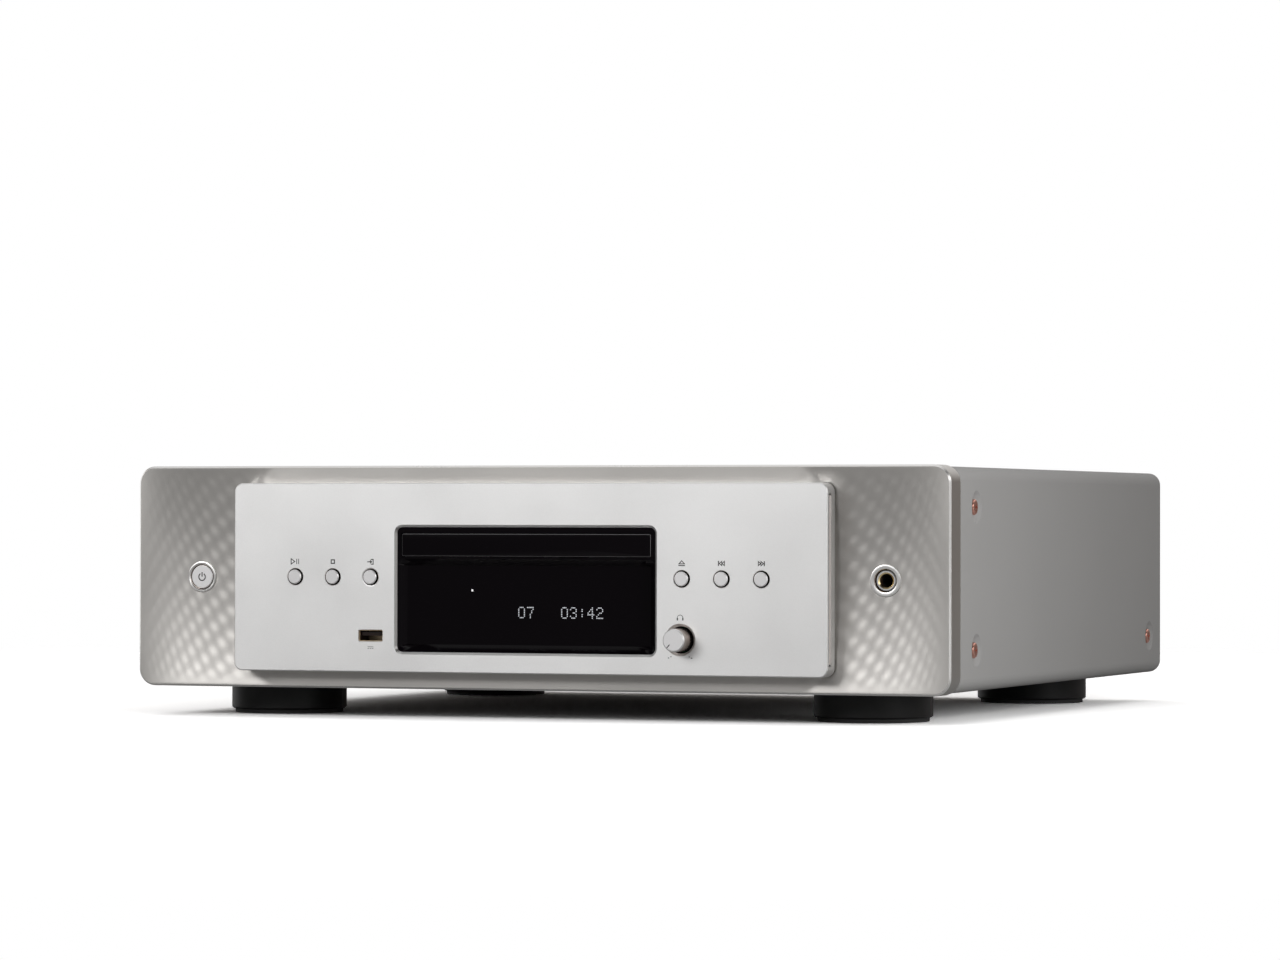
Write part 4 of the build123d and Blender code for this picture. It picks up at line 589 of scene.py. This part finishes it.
def ring_holes():
    """Round holes that the two rings sit in."""
    shape = bmesh.new()
    for name in ("power_ring", "headphone_ring"):
        centre = centre_of(name)
        prism(shape, circle(centre.x, centre.z, radius_of(name)), RIM - CUT_OVER,
              PANEL_BACK - 2 * MM)
    bmesh.ops.recalc_face_normals(shape, faces=shape.faces)
    return shape


def loose(name, shape):
    """Plain object for a cutter."""
    mesh = bpy.data.meshes.new(name)
    shape.to_mesh(mesh)
    shape.free()
    made = bpy.data.objects.new(name, mesh)
    bpy.context.scene.collection.objects.link(made)
    return made


def carved(target, tool, operation):
    """Applies a boolean to target and removes the tool."""
    change = target.modifiers.new("carve", "BOOLEAN")
    change.object = tool
    change.operation = operation
    change.solver = "MANIFOLD"
    view = bpy.context.evaluated_depsgraph_get()
    mesh = bpy.data.meshes.new_from_object(target.evaluated_get(view))
    target.modifiers.clear()
    target.data = mesh
    bpy.data.objects.remove(tool)


CUT_EDGE_REACH = 1.1                # inwards from the outline, in widths of the slanted edge
CUT_EDGE_NORMAL_Y = (0.5, 0.88)


def on_cut_edge(middle, normal):
    """Whether a face belongs to the slanted edge round the panel's front."""
    half_h = (PANEL_TOP - PANEL_BASE) / 2
    across = abs(middle.x) - (PANEL_X - PANEL_CORNER)
    up = abs(middle.z - (PANEL_BASE + PANEL_TOP) / 2) - (half_h - PANEL_CORNER)
    outside = math.hypot(max(across, 0), max(up, 0)) + min(max(across, up), 0) - PANEL_CORNER
    return (outside > -CUT_EDGE_REACH * PANEL_EDGE
            and CUT_EDGE_NORMAL_Y[0] < abs(normal.y) < CUT_EDGE_NORMAL_Y[1])


def dimpled_panel():
    """The front panel as seen: flat strips and dimpled, dished wings."""
    panel = loose("dimpled_panel", panel_block())
    carved(panel, loose("envelope", panel_envelope()), "INTERSECT")
    carved(panel, loose("openings", panel_cutters()), "DIFFERENCE")
    carved(panel, loose("ring_holes", ring_holes()), "DIFFERENCE")
    panel.data.materials.clear()
    panel.data.materials.append(PANEL_METAL)
    panel.data.materials.append(EDGE_METAL)
    for face in panel.data.polygons:
        face.material_index = int(on_cut_edge(face.center, face.normal))
    panel.data.polygons.foreach_set("use_smooth", [True] * len(panel.data.polygons))
    panel.data.set_sharp_from_angle(angle=math.radians(PANEL_SHARP))
    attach(panel, "chassis")
    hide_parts("front_panel")


dimpled_panel()


DOOR_CORNER = 0.8 * MM
DOOR_SOFT = 0.35 * MM               # radius of the door's front edge
DOOR_CORNER_STEPS = 6
DOOR_EDGE_STEPS = 4
DOOR_EDGE_NORMAL_Y = (0.1, 0.95)
DOOR_SHARP = 40


def tray_door():
    """Gloss black tray door with softened edges; the rounded front edge is painted lighter grey as
    a highlight.
    """
    low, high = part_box("tray_front")
    rings = [(high.y, 0.0), (low.y + DOOR_SOFT, 0.0)]
    rings += [(low.y + DOOR_SOFT * (1 - math.sin(a)), DOOR_SOFT * (1 - math.cos(a)))
              for a in (math.radians(90 / DOOR_EDGE_STEPS * (k + 1))
                        for k in range(DOOR_EDGE_STEPS))]
    door = skinned(low, high, DOOR_CORNER, rings, DOOR_CORNER_STEPS)
    made = piece("tray_door", door, "tray", BLACK_GLOSS, smooth_angle=DOOR_SHARP)
    # The edge faces get the lighter grey painted highlight.
    made.data.materials.append(DOOR_EDGE_PAINTED_HIGHLIGHT)
    for face in made.data.polygons:
        face.material_index = int(
            DOOR_EDGE_NORMAL_Y[0] < abs(face.normal.y) < DOOR_EDGE_NORMAL_Y[1])
    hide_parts("tray_front")


tray_door()


RING_SHARP = 30


def lathed(name, node_name, profile, finishes):
    """Ring turned about a node's axis from a closed profile of (radius, y), replacing the node.
    finishes holds a finish for each stretch of the profile."""
    centre = centre_of(node_name)
    ring = bmesh.new()
    loops = [[ring.verts.new((x, y, z)) for x, z in circle(centre.x, centre.z, r)]
             for r, y in profile]
    used = list(dict.fromkeys(finishes))
    for k, a in enumerate(loops):
        b = loops[(k + 1) % len(loops)]
        for i in range(len(a)):
            j = (i + 1) % len(a)
            face = ring.faces.new((a[i], a[j], b[j], b[i]))
            face.material_index = used.index(finishes[k])
    bmesh.ops.recalc_face_normals(ring, faces=ring.faces)
    made = piece(name, ring, "chassis", used[0], smooth_angle=RING_SHARP)
    for finish in used[1:]:
        made.data.materials.append(finish)
    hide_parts(node_name)


POWER_HOLE_R = 6.4 * MM
PHONES_HOLE_R = 5.6 * MM
JACK_R = 3.25 * MM

# Millimetres inwards from the outer radius or outwards from the hole, and back from the face
RING_LIP = ((0, 0.6), (0.25, 0.15), (0.7, 0))
RING_MOUTH = ((0.3, 0.3), (0, 0.7))
BUSH_LIP = ((0, 0.5), (0.4, 0))
BUSH_MOUTH = ((0.9, 0), (0.2, 0.5), (0, 1.2))


def ring_profile(node_name, hole_r, lip, mouth):
    """Closed profile of (radius, y): the outer wall, the lip, the mouth and the hole."""
    low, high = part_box(node_name)
    r = radius_of(node_name)
    profile = [(r, high.y)] + [(r - inward * MM, low.y + back * MM) for inward, back in lip]
    profile += [(hole_r + outward * MM, low.y + back * MM) for outward, back in mouth]
    return profile + [(hole_r, high.y)]


def control_ring(node_name, hole_r):
    """Bright ring with a rounded outer lip, dished towards its hole; its mouth and hole wall carry
    painted shade.
    """
    profile = ring_profile(node_name, hole_r, RING_LIP, RING_MOUTH)
    finishes = [RING_METALS[node_name]] * 4 + [SIDE_METAL_PAINTED_SHADE, BORE_PAINTED_SHADE, BORE_PAINTED_SHADE]
    lathed(node_name + "_dished", node_name, profile, finishes)


def jack_bush():
    """Bright bush with a gold mouth round the headphone socket's bore; the bore wall carries
    painted shade.
    """
    profile = ring_profile("headphone_bush", JACK_R, BUSH_LIP, BUSH_MOUTH)
    finishes = [BUSH_METAL, BUSH_METAL, BUSH_METAL, GOLD, GOLD, BORE_PAINTED_SHADE, BUSH_METAL]
    lathed("jack_bush", "headphone_bush", profile, finishes)


control_ring("power_ring", POWER_HOLE_R)
control_ring("headphone_ring", PHONES_HOLE_R)
jack_bush()

# ---------------------------------------------------------------- printed marks

INK_FRONT = PLATE_FACE - 0.02 * MM
INK_BACK = PLATE_FACE + 0.03 * MM
LINE = 0.46                         # usual width of a line, millimetres
SYMBOL_UP = 7.8 * MM                # from a button's middle to its symbol's middle


def triangle(x, size, direction=1, depth=0.75):
    """Corners of a play triangle pointing along +X or -X; depth is its length over its height."""
    half = size / 2
    return [(x - direction * half * depth, -half), (x + direction * half * depth, 0),
            (x - direction * half * depth, half)]


def box_outline(x, z, half_w, half_h):
    """Corners of a rectangle."""
    return [(x - half_w, z - half_h), (x + half_w, z - half_h),
            (x + half_w, z + half_h), (x - half_w, z + half_h)]


def skip_symbol(direction):
    """Two triangles and a bar, pointing along +X or -X."""
    strokes = [(triangle(direction * step, 2.1, direction, 0.62), 0.9 * LINE, True)
               for step in (-0.95, 0.45)]
    bar = direction * 1.55
    return strokes + [([(bar, -1.25), (bar, 1.25)], 1.2 * LINE, False)]


# Strokes of each symbol: a path in millimetres from its middle, a width, and whether it closes
SYMBOLS = {
    "button_play_pause": [
        (triangle(-1.35, 2.7), LINE, True),
        ([(0.75, -1.35), (0.75, 1.35)], 0.8 * LINE, False),
        ([(1.85, -1.35), (1.85, 1.35)], 0.8 * LINE, False)],
    "button_stop": [(box_outline(0, 0, 0.9, 0.9), 1.2 * LINE, True)],
    "button_input": [
        ([(0.2, 1.2), (1.5, 1.2), (1.5, -1.2), (0.2, -1.2)], LINE, False),
        ([(-1.8, 0), (0.6, 0)], LINE, False),
        ([(-0.2, 0.75), (0.6, 0), (-0.2, -0.75)], LINE, False)],
    "button_eject": [
        ([(-1.5, -0.3), (0, 1.25), (1.5, -0.3)], 0.9 * LINE, True),
        ([(-1.75, -1.15), (1.75, -1.15)], LINE, False)],
    "button_previous": skip_symbol(-1),
    "button_next": skip_symbol(1),
}


def draw(ink, x, z, strokes, y0=INK_FRONT, y1=INK_BACK):
    """Adds the strokes of a symbol whose middle is at (x, z)."""
    for path, width, closed in strokes:
        stroke(ink, [(x + a * MM, z + b * MM) for a, b in path], width * MM, y0, y1, closed)


def transport_marks():
    """Outlined symbols above the six buttons."""
    ink = bmesh.new()
    for name, strokes in SYMBOLS.items():
        centre = centre_of(name)
        draw(ink, centre.x, centre.z + SYMBOL_UP, strokes)
    piece("transport_marks", ink, "chassis", PRINT)


DC_LINE = 0.25
DC_DOWN = 3.4 * MM                  # from the USB socket's lower edge to the symbol


def dc_mark():
    """Direct-current symbol under the USB socket: a line over three dashes."""
    ink = bmesh.new()
    low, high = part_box("usb_shell")
    strokes = [([(-1.6, 0.5), (1.6, 0.5)], DC_LINE, False)]
    strokes += [([(step - 0.4, -0.3), (step + 0.4, -0.3)], DC_LINE, False)
                for step in (-1.2, 0.0, 1.2)]
    draw(ink, (low.x + high.x) / 2, low.z - DC_DOWN, strokes)
    piece("dc_mark", ink, "chassis", PRINT)


# Angle in degrees from +X towards +Z, reach and half width in millimetres
LEVEL_DASHES = ((236, 10.9, 0.35), (240, 9.7, 0.25), (300, 9.7, 0.3), (304, 10.9, 0.4))
DASH_HALF_H = 0.22 * MM
PHONES_UP = 10.9 * MM               # from the knob's middle to the headphone outline
PHONES_R = 1.5 * MM
PHONES_LINE = 0.28 * MM
EARCUP_OUT = 1.45 * MM              # from the outline's middle to an ear cup's
EARCUP_DOWN = 0.5 * MM
EARCUP_HALF = (0.33 * MM, 0.65 * MM)


def level_marks():
    """Small marks at both ends of the volume knob's turn, and a headphone outline over it."""
    ink = bmesh.new()
    centre = centre_of("level_knob")
    for angle, reach, half in LEVEL_DASHES:
        a = math.radians(angle)
        prism(ink, box_outline(centre.x + reach * MM * math.cos(a),
                               centre.z + reach * MM * math.sin(a), half * MM, DASH_HALF_H),
              INK_FRONT, INK_BACK)
    x, z = centre.x, centre.z + PHONES_UP
    stroke(ink, arc(x, z, PHONES_R, 0, 180, 16), PHONES_LINE, INK_FRONT, INK_BACK)
    for side in (-1, 1):
        prism(ink, box_outline(x + side * EARCUP_OUT, z - EARCUP_DOWN, *EARCUP_HALF),
              INK_FRONT, INK_BACK)
    piece("level_marks", ink, "chassis", PRINT)


# The power mark's sizes are in millimetres from the button's middle
POWER_LINE = 0.58
POWER_MARK_R = 1.85
POWER_MARK_Z = -0.1
POWER_MARK_ARC = (122, 418)         # degrees
POWER_BAR = ((0, 0.1), (0, 2.4))
POWER_INK = (0.02 * MM, 0.05 * MM)  # how far the ink goes in front of and behind the face


def power_mark():
    """Broken ring and bar on the power button."""
    ink = bmesh.new()
    centre = centre_of("power_button")
    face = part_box("power_button")[0].y
    ring = arc(0, POWER_MARK_Z, POWER_MARK_R, *POWER_MARK_ARC, steps=40)
    draw(ink, centre.x, centre.z, [(ring, POWER_LINE, False), (POWER_BAR, POWER_LINE, False)],
         face - POWER_INK[0], face + POWER_INK[1])
    piece("power_mark", ink, "power_button", PRINT)


POINTER_ANGLE = 228                 # degrees from +X towards +Z
POINTER_MIDDLE = 4.0 * MM           # from the knob's axis
POINTER_HALF_L = 1.1 * MM
POINTER_HALF_W = 0.24 * MM
POINTER_INK = (0.02, 0.018, 0.018, 1)


def knob_pointer():
    """Dark line on the volume knob's face, in its finish."""
    tree = nodes["level_knob"].data.materials[0].node_tree
    shader = tree.nodes["Principled BSDF"]
    turn = Matrix.Rotation(math.radians(POINTER_ANGLE), 3, "Y")
    place = node(tree, "ShaderNodeTexCoord")
    mapping = node(tree, "ShaderNodeMapping")
    mapping.inputs["Rotation"].default_value = turn.to_euler()
    mapping.inputs["Location"].default_value = turn @ -centre_of("level_knob")
    split = node(tree, "ShaderNodeSeparateXYZ")
    along = node(tree, "ShaderNodeMath", operation="COMPARE")
    along.inputs[1].default_value, along.inputs[2].default_value = POINTER_MIDDLE, POINTER_HALF_L
    across = node(tree, "ShaderNodeMath", operation="COMPARE")
    across.inputs[1].default_value, across.inputs[2].default_value = 0.0, POINTER_HALF_W
    inked = node(tree, "ShaderNodeMath", operation="MULTIPLY")
    bare = node(tree, "ShaderNodeMath", operation="SUBTRACT")
    bare.inputs[0].default_value = 1.0
    mix = node(tree, "ShaderNodeMix", data_type="RGBA")
    mix.inputs["B"].default_value = POINTER_INK
    metal_colour = shader.inputs["Base Color"].links[0].from_socket
    link = tree.links.new
    link(place.outputs["Object"], mapping.inputs["Vector"])
    link(mapping.outputs["Vector"], split.inputs["Vector"])
    link(split.outputs["X"], along.inputs[0])
    link(split.outputs["Z"], across.inputs[0])
    link(along.outputs[0], inked.inputs[0])
    link(across.outputs[0], inked.inputs[1])
    link(inked.outputs[0], bare.inputs[1])
    link(metal_colour, mix.inputs["A"])
    link(inked.outputs[0], mix.inputs["Factor"])
    link(mix.outputs["Result"], shader.inputs["Base Color"])
    link(bare.outputs[0], shader.inputs["Metallic"])


transport_marks()
dc_mark()
level_marks()
power_mark()
knob_pointer()

# ---------------------------------------------------------------- display

GLYPHS = {
    "0": ("01110", "10001", "10001", "10001", "10001", "10001", "01110"),
    "2": ("01110", "10001", "00001", "00110", "01000", "10000", "11111"),
    "3": ("01110", "10001", "00001", "00110", "00001", "10001", "01110"),
    "4": ("00010", "00110", "01010", "10010", "11111", "00010", "00010"),
    "7": ("11111", "00001", "00010", "00010", "00100", "00100", "00100"),
    ":": ("00000", "00100", "00100", "00000", "00100", "00100", "00000"),
}
DOT_X = 0.76 * MM                   # pitch of the dots
DOT_Z = 0.86 * MM
DOT_SIZE = 0.50 * MM
GLYPH_PITCH = 4.75 * MM
DIGITS_Z = 52.0 * MM
DIGIT_GROUPS = ((-5.0 * MM, "07"), (18.3 * MM, "03:42"))
LAMP_X, LAMP_Z = -30.4 * MM, 65.6 * MM
LAMP_SIZE = 1.0 * MM
GLASS_Y = WINDOW_LOW.y + 4.0 * MM   # the window's sunk face
GLOW_HALF_T = 0.02 * MM


def lit_square(shape, x, z, size):
    """Thin lit square on the window's sunk face."""
    prism(shape, box_outline(x, z, size / 2, size / 2), GLASS_Y - GLOW_HALF_T,
          GLASS_Y + GLOW_HALF_T)


def display_digits():
    """Dot-matrix track number and time on the display glass."""
    dots = bmesh.new()
    for start, text in DIGIT_GROUPS:
        for place, letter in enumerate(text):
            for row, line in enumerate(GLYPHS[letter]):
                for column, lit in enumerate(line):
                    if lit == "1":
                        x = start + place * GLYPH_PITCH + column * DOT_X
                        z = DIGITS_Z + (len(GLYPHS[letter]) - 1 - row) * DOT_Z
                        lit_square(dots, x, z, DOT_SIZE)
    piece("display_digits", dots, "chassis", DIGIT_GLOW)


def status_lamp():
    """Small square lamp in the window."""
    lamp = bmesh.new()
    lit_square(lamp, LAMP_X, LAMP_Z, LAMP_SIZE)
    piece("status_lamp", lamp, "chassis", LAMP_GLOW)


display_digits()
status_lamp()

# ---------------------------------------------------------------- floor, light and camera

FLOOR_CLEAR = 0.2 * MM              # gap under the feet
FLOOR_R = 3.2
FLOOR_SIDES = 96
FLOOR_FADE = (0.5, 1.4)             # distances from the middle over which it fades out
FLOOR_GREY = 0.36                   # what lights the object from below
FLOOR_WHITE = 1.75                  # what the camera sees, white where no shadow lies

# The room's lights. A pair says where one fades, by a direction's part along X, Y or Z, -1 to 1
ROOM_DARK = 0.16
STRIP_LIGHT = 1.24
STRIP_START = (0.14, 0.28)
STRIP_END = (0.4, 0.55)
STRIP_ACROSS = (-0.6, 0.4)
STRIP_LEVELS = (0.8, 1.2)           # at the left and at the right
RIGHT_WALL = 0.8
WALL_START = (0.5, 0.8)
WALL_FOOT = (-0.25, 0.1)
WALL_FOOT_LEVEL = 0.25
WALL_TOP = (0.4, 0.7)
WALL_REAR = (-0.42, -0.24)
CEILING_LIGHT = 0.85
CEILING_TILT = 30                   # degrees that the ceiling light leans to the back
CEILING_START = (0.5, 0.85)
REAR_LEVELS = (0.7, 0.22)           # at the left and at the right
REAR_ACROSS = (-0.4, 0.15)
REAR_TOP = (0.3, 0.7)
REAR_TINT = (1, 0.88, 0.81, 1)
BEHIND = (0.05, 0.3)                # where the front of the room turns into the rear
BACKDROP_TOP = (0.25, 0.6)
BACKDROP_RIGHT = (-0.15, 0.05)

CAMERA_AT = (0.936157, -2.532583, 0.101777)
CAMERA_YAW = 20.6014                # degrees to the left of straight ahead
CAMERA_PITCH = 0.4526
CAMERA_ROLL = 0.083
LENS = 139.825                      # focal length and sensor width in millimetres
SENSOR = 36.0


def floor():
    """Pale round floor that fades into the white surroundings."""
    disc = bmesh.new()
    bmesh.ops.create_circle(disc, cap_ends=True, segments=FLOOR_SIDES, radius=FLOOR_R)
    mesh = bpy.data.meshes.new("floor")
    disc.to_mesh(mesh)
    disc.free()
    made = bpy.data.objects.new("floor", mesh)
    made.location.z = -FLOOR_CLEAR
    bpy.context.scene.collection.objects.link(made)
    material = bpy.data.materials.new("floor")
    material.use_nodes = True
    tree = material.node_tree
    tree.nodes.clear()
    place = node(tree, "ShaderNodeTexCoord")
    length = node(tree, "ShaderNodeVectorMath", operation="LENGTH")
    fade = node(tree, "ShaderNodeMapRange", interpolation_type="SMOOTHSTEP",
                From_Min=FLOOR_FADE[0], From_Max=FLOOR_FADE[1], To_Min=0.0, To_Max=1.0)
    path = node(tree, "ShaderNodeLightPath")
    seen = node(tree, "ShaderNodeMix", data_type="RGBA")
    seen.inputs["A"].default_value = (FLOOR_GREY, FLOOR_GREY, FLOOR_GREY, 1)
    seen.inputs["B"].default_value = (FLOOR_WHITE, FLOOR_WHITE, FLOOR_WHITE, 1)
    diffuse = node(tree, "ShaderNodeBsdfDiffuse")
    clear = node(tree, "ShaderNodeBsdfTransparent")
    mix = node(tree, "ShaderNodeMixShader")
    out = node(tree, "ShaderNodeOutputMaterial")
    link = tree.links.new
    link(place.outputs["Object"], length.inputs[0])
    link(length.outputs["Value"], fade.inputs["Value"])
    link(fade.outputs["Result"], mix.inputs["Fac"])
    link(path.outputs["Is Camera Ray"], seen.inputs["Factor"])
    link(seen.outputs["Result"], diffuse.inputs["Color"])
    link(diffuse.outputs["BSDF"], mix.inputs[1])
    link(clear.outputs["BSDF"], mix.inputs[2])
    link(mix.outputs["Shader"], out.inputs["Surface"])
    made.data.materials.append(material)


def stepped(tree, value, reach, start=0.0, end=1.0):
    """Smooth change from start to end as value goes through the pair reach."""
    made = node(tree, "ShaderNodeMapRange", interpolation_type="SMOOTHSTEP",
                From_Min=reach[0], From_Max=reach[1], To_Min=start, To_Max=end)
    tree.links.new(value, made.inputs["Value"])
    return made.outputs["Result"]


def maths(tree, operation, a, b):
    """Sum, product or other result of two values."""
    made = node(tree, "ShaderNodeMath", operation=operation)
    tree.links.new(a, made.inputs[0])
    tree.links.new(b, made.inputs[1])
    return made.outputs["Value"]


def surroundings():
    """White backdrop behind the object; in front a dark room with a long strip light over the
    horizon, a pale wall at the right and a soft ceiling."""
    world = bpy.data.worlds.new("studio")
    bpy.context.scene.world = world
    world.use_nodes = True
    tree = world.node_tree
    tree.nodes.clear()
    link = tree.links.new
    place = node(tree, "ShaderNodeTexCoord")
    split = node(tree, "ShaderNodeSeparateXYZ")
    link(place.outputs["Generated"], split.inputs["Vector"])
    side, along, up = (split.outputs[axis] for axis in "XYZ")
    strip = maths(tree, "MULTIPLY", stepped(tree, up, STRIP_START, ROOM_DARK, STRIP_LIGHT),
                  stepped(tree, up, STRIP_END, 1.0, 0.0))
    strip = maths(tree, "MULTIPLY", strip, stepped(tree, side, STRIP_ACROSS, *STRIP_LEVELS))
    wall = maths(tree, "MULTIPLY", stepped(tree, side, WALL_START, 0.0, RIGHT_WALL),
                 stepped(tree, up, WALL_FOOT, WALL_FOOT_LEVEL, 1.0))
    wall = maths(tree, "MULTIPLY", wall, stepped(tree, up, WALL_TOP, 1.0, 0.0))
    wall = maths(tree, "MULTIPLY", wall, stepped(tree, along, WALL_REAR, 1.0, 0.0))
    low_front = maths(tree, "ADD", strip, wall)
    tilt = math.radians(CEILING_TILT)
    overhead = node(tree, "ShaderNodeVectorMath", operation="DOT_PRODUCT")
    overhead.inputs[1].default_value = (0, math.sin(tilt), math.cos(tilt))
    link(place.outputs["Generated"], overhead.inputs[0])
    ceiling = stepped(tree, overhead.outputs["Value"], CEILING_START, 0.0, CEILING_LIGHT)
    low_rear = maths(tree, "MULTIPLY", stepped(tree, up, REAR_TOP, 1.0, 0.0),
                     stepped(tree, side, REAR_ACROSS, *REAR_LEVELS))
    behind = stepped(tree, along, BEHIND)
    room = node(tree, "ShaderNodeBackground")
    link(low_front, room.inputs["Strength"])
    rear = node(tree, "ShaderNodeBackground")
    link(low_rear, rear.inputs["Strength"])
    halves = node(tree, "ShaderNodeMixShader")
    link(behind, halves.inputs["Fac"])
    link(room.outputs["Background"], halves.inputs[1])
    link(rear.outputs["Background"], halves.inputs[2])
    top = node(tree, "ShaderNodeBackground")
    link(ceiling, top.inputs["Strength"])
    whole = node(tree, "ShaderNodeAddShader")
    link(halves.outputs["Shader"], whole.inputs[0])
    link(top.outputs["Background"], whole.inputs[1])
    white = node(tree, "ShaderNodeBackground", Strength=1.0)
    for background in (room, top, white):
        background.inputs["Color"].default_value = (1, 1, 1, 1)
    rear.inputs["Color"].default_value = REAR_TINT
    path = node(tree, "ShaderNodeLightPath")
    mirror = maths(tree, "MAXIMUM", path.outputs["Is Glossy Ray"],
                   path.outputs["Is Transmission Ray"])
    backdrop = maths(tree, "MULTIPLY", behind, stepped(tree, up, BACKDROP_TOP, 1.0, 0.0))
    backdrop = maths(tree, "MULTIPLY", backdrop, stepped(tree, side, BACKDROP_RIGHT, 1.0, 0.0))
    shown = maths(tree, "MAXIMUM", path.outputs["Is Camera Ray"],
                  maths(tree, "MULTIPLY", mirror, backdrop))
    mix = node(tree, "ShaderNodeMixShader")
    out = node(tree, "ShaderNodeOutputWorld")
    link(shown, mix.inputs["Fac"])
    link(whole.outputs["Shader"], mix.inputs[1])
    link(white.outputs["Background"], mix.inputs[2])
    link(mix.outputs["Shader"], out.inputs["Surface"])


def soft_box(name, azimuth, elevation, distance, width, height, light, target=(0, 0, 0.07),
             mirrored=True):
    """Area lamp aimed at target; azimuth 0 is straight in front, positive to the right.
    With a light of 1, a facing white surface there renders as white. A lamp that isn't
    mirrored adds no highlight."""
    a, e = math.radians(azimuth), math.radians(elevation)
    back = Vector((math.sin(a) * math.cos(e), -math.cos(a) * math.cos(e), math.sin(e)))
    lamp = bpy.data.lights.new(name, "AREA")
    lamp.shape = "RECTANGLE"
    lamp.size, lamp.size_y = width, height
    lamp.energy = light * math.pi ** 2 * distance ** 2
    made = bpy.data.objects.new(name, lamp)
    made.location = Vector(target) + back * distance
    made.rotation_mode = "QUATERNION"
    made.rotation_quaternion = (-back).to_track_quat("-Z", "Y")
    made.visible_glossy = mirrored
    bpy.context.scene.collection.objects.link(made)


def camera():
    """Long lens from the right front, near the floor."""
    yaw, pitch, roll = (math.radians(a) for a in (CAMERA_YAW, CAMERA_PITCH, CAMERA_ROLL))
    ahead = Vector((-math.sin(yaw) * math.cos(pitch), math.cos(yaw) * math.cos(pitch),
                    math.sin(pitch)))
    level = Vector((math.cos(yaw), math.sin(yaw), 0))
    upright = level.cross(ahead)
    right = math.cos(roll) * level + math.sin(roll) * upright
    up = math.cos(roll) * upright - math.sin(roll) * level
    lens = bpy.data.cameras.new("camera")
    lens.sensor_fit = "HORIZONTAL"
    lens.sensor_width = SENSOR
    lens.lens = LENS
    lens.clip_end = 50
    made = bpy.data.objects.new("camera", lens)
    turn = Matrix((right, up, -ahead)).transposed().to_4x4()
    made.matrix_world = Matrix.Translation(CAMERA_AT) @ turn
    bpy.context.scene.collection.objects.link(made)
    bpy.context.scene.camera = made


floor()
surroundings()
soft_box("key_light", azimuth=-24, elevation=23, distance=2.4, width=1.1, height=0.7, light=0.275)
soft_box("side_light", azimuth=66, elevation=10, distance=0.6, width=0.35, height=0.25, light=0.98,
         target=(0.22, -0.19, 0.07), mirrored=False)
camera()
bpy.context.scene.view_settings.view_transform = "Standard"
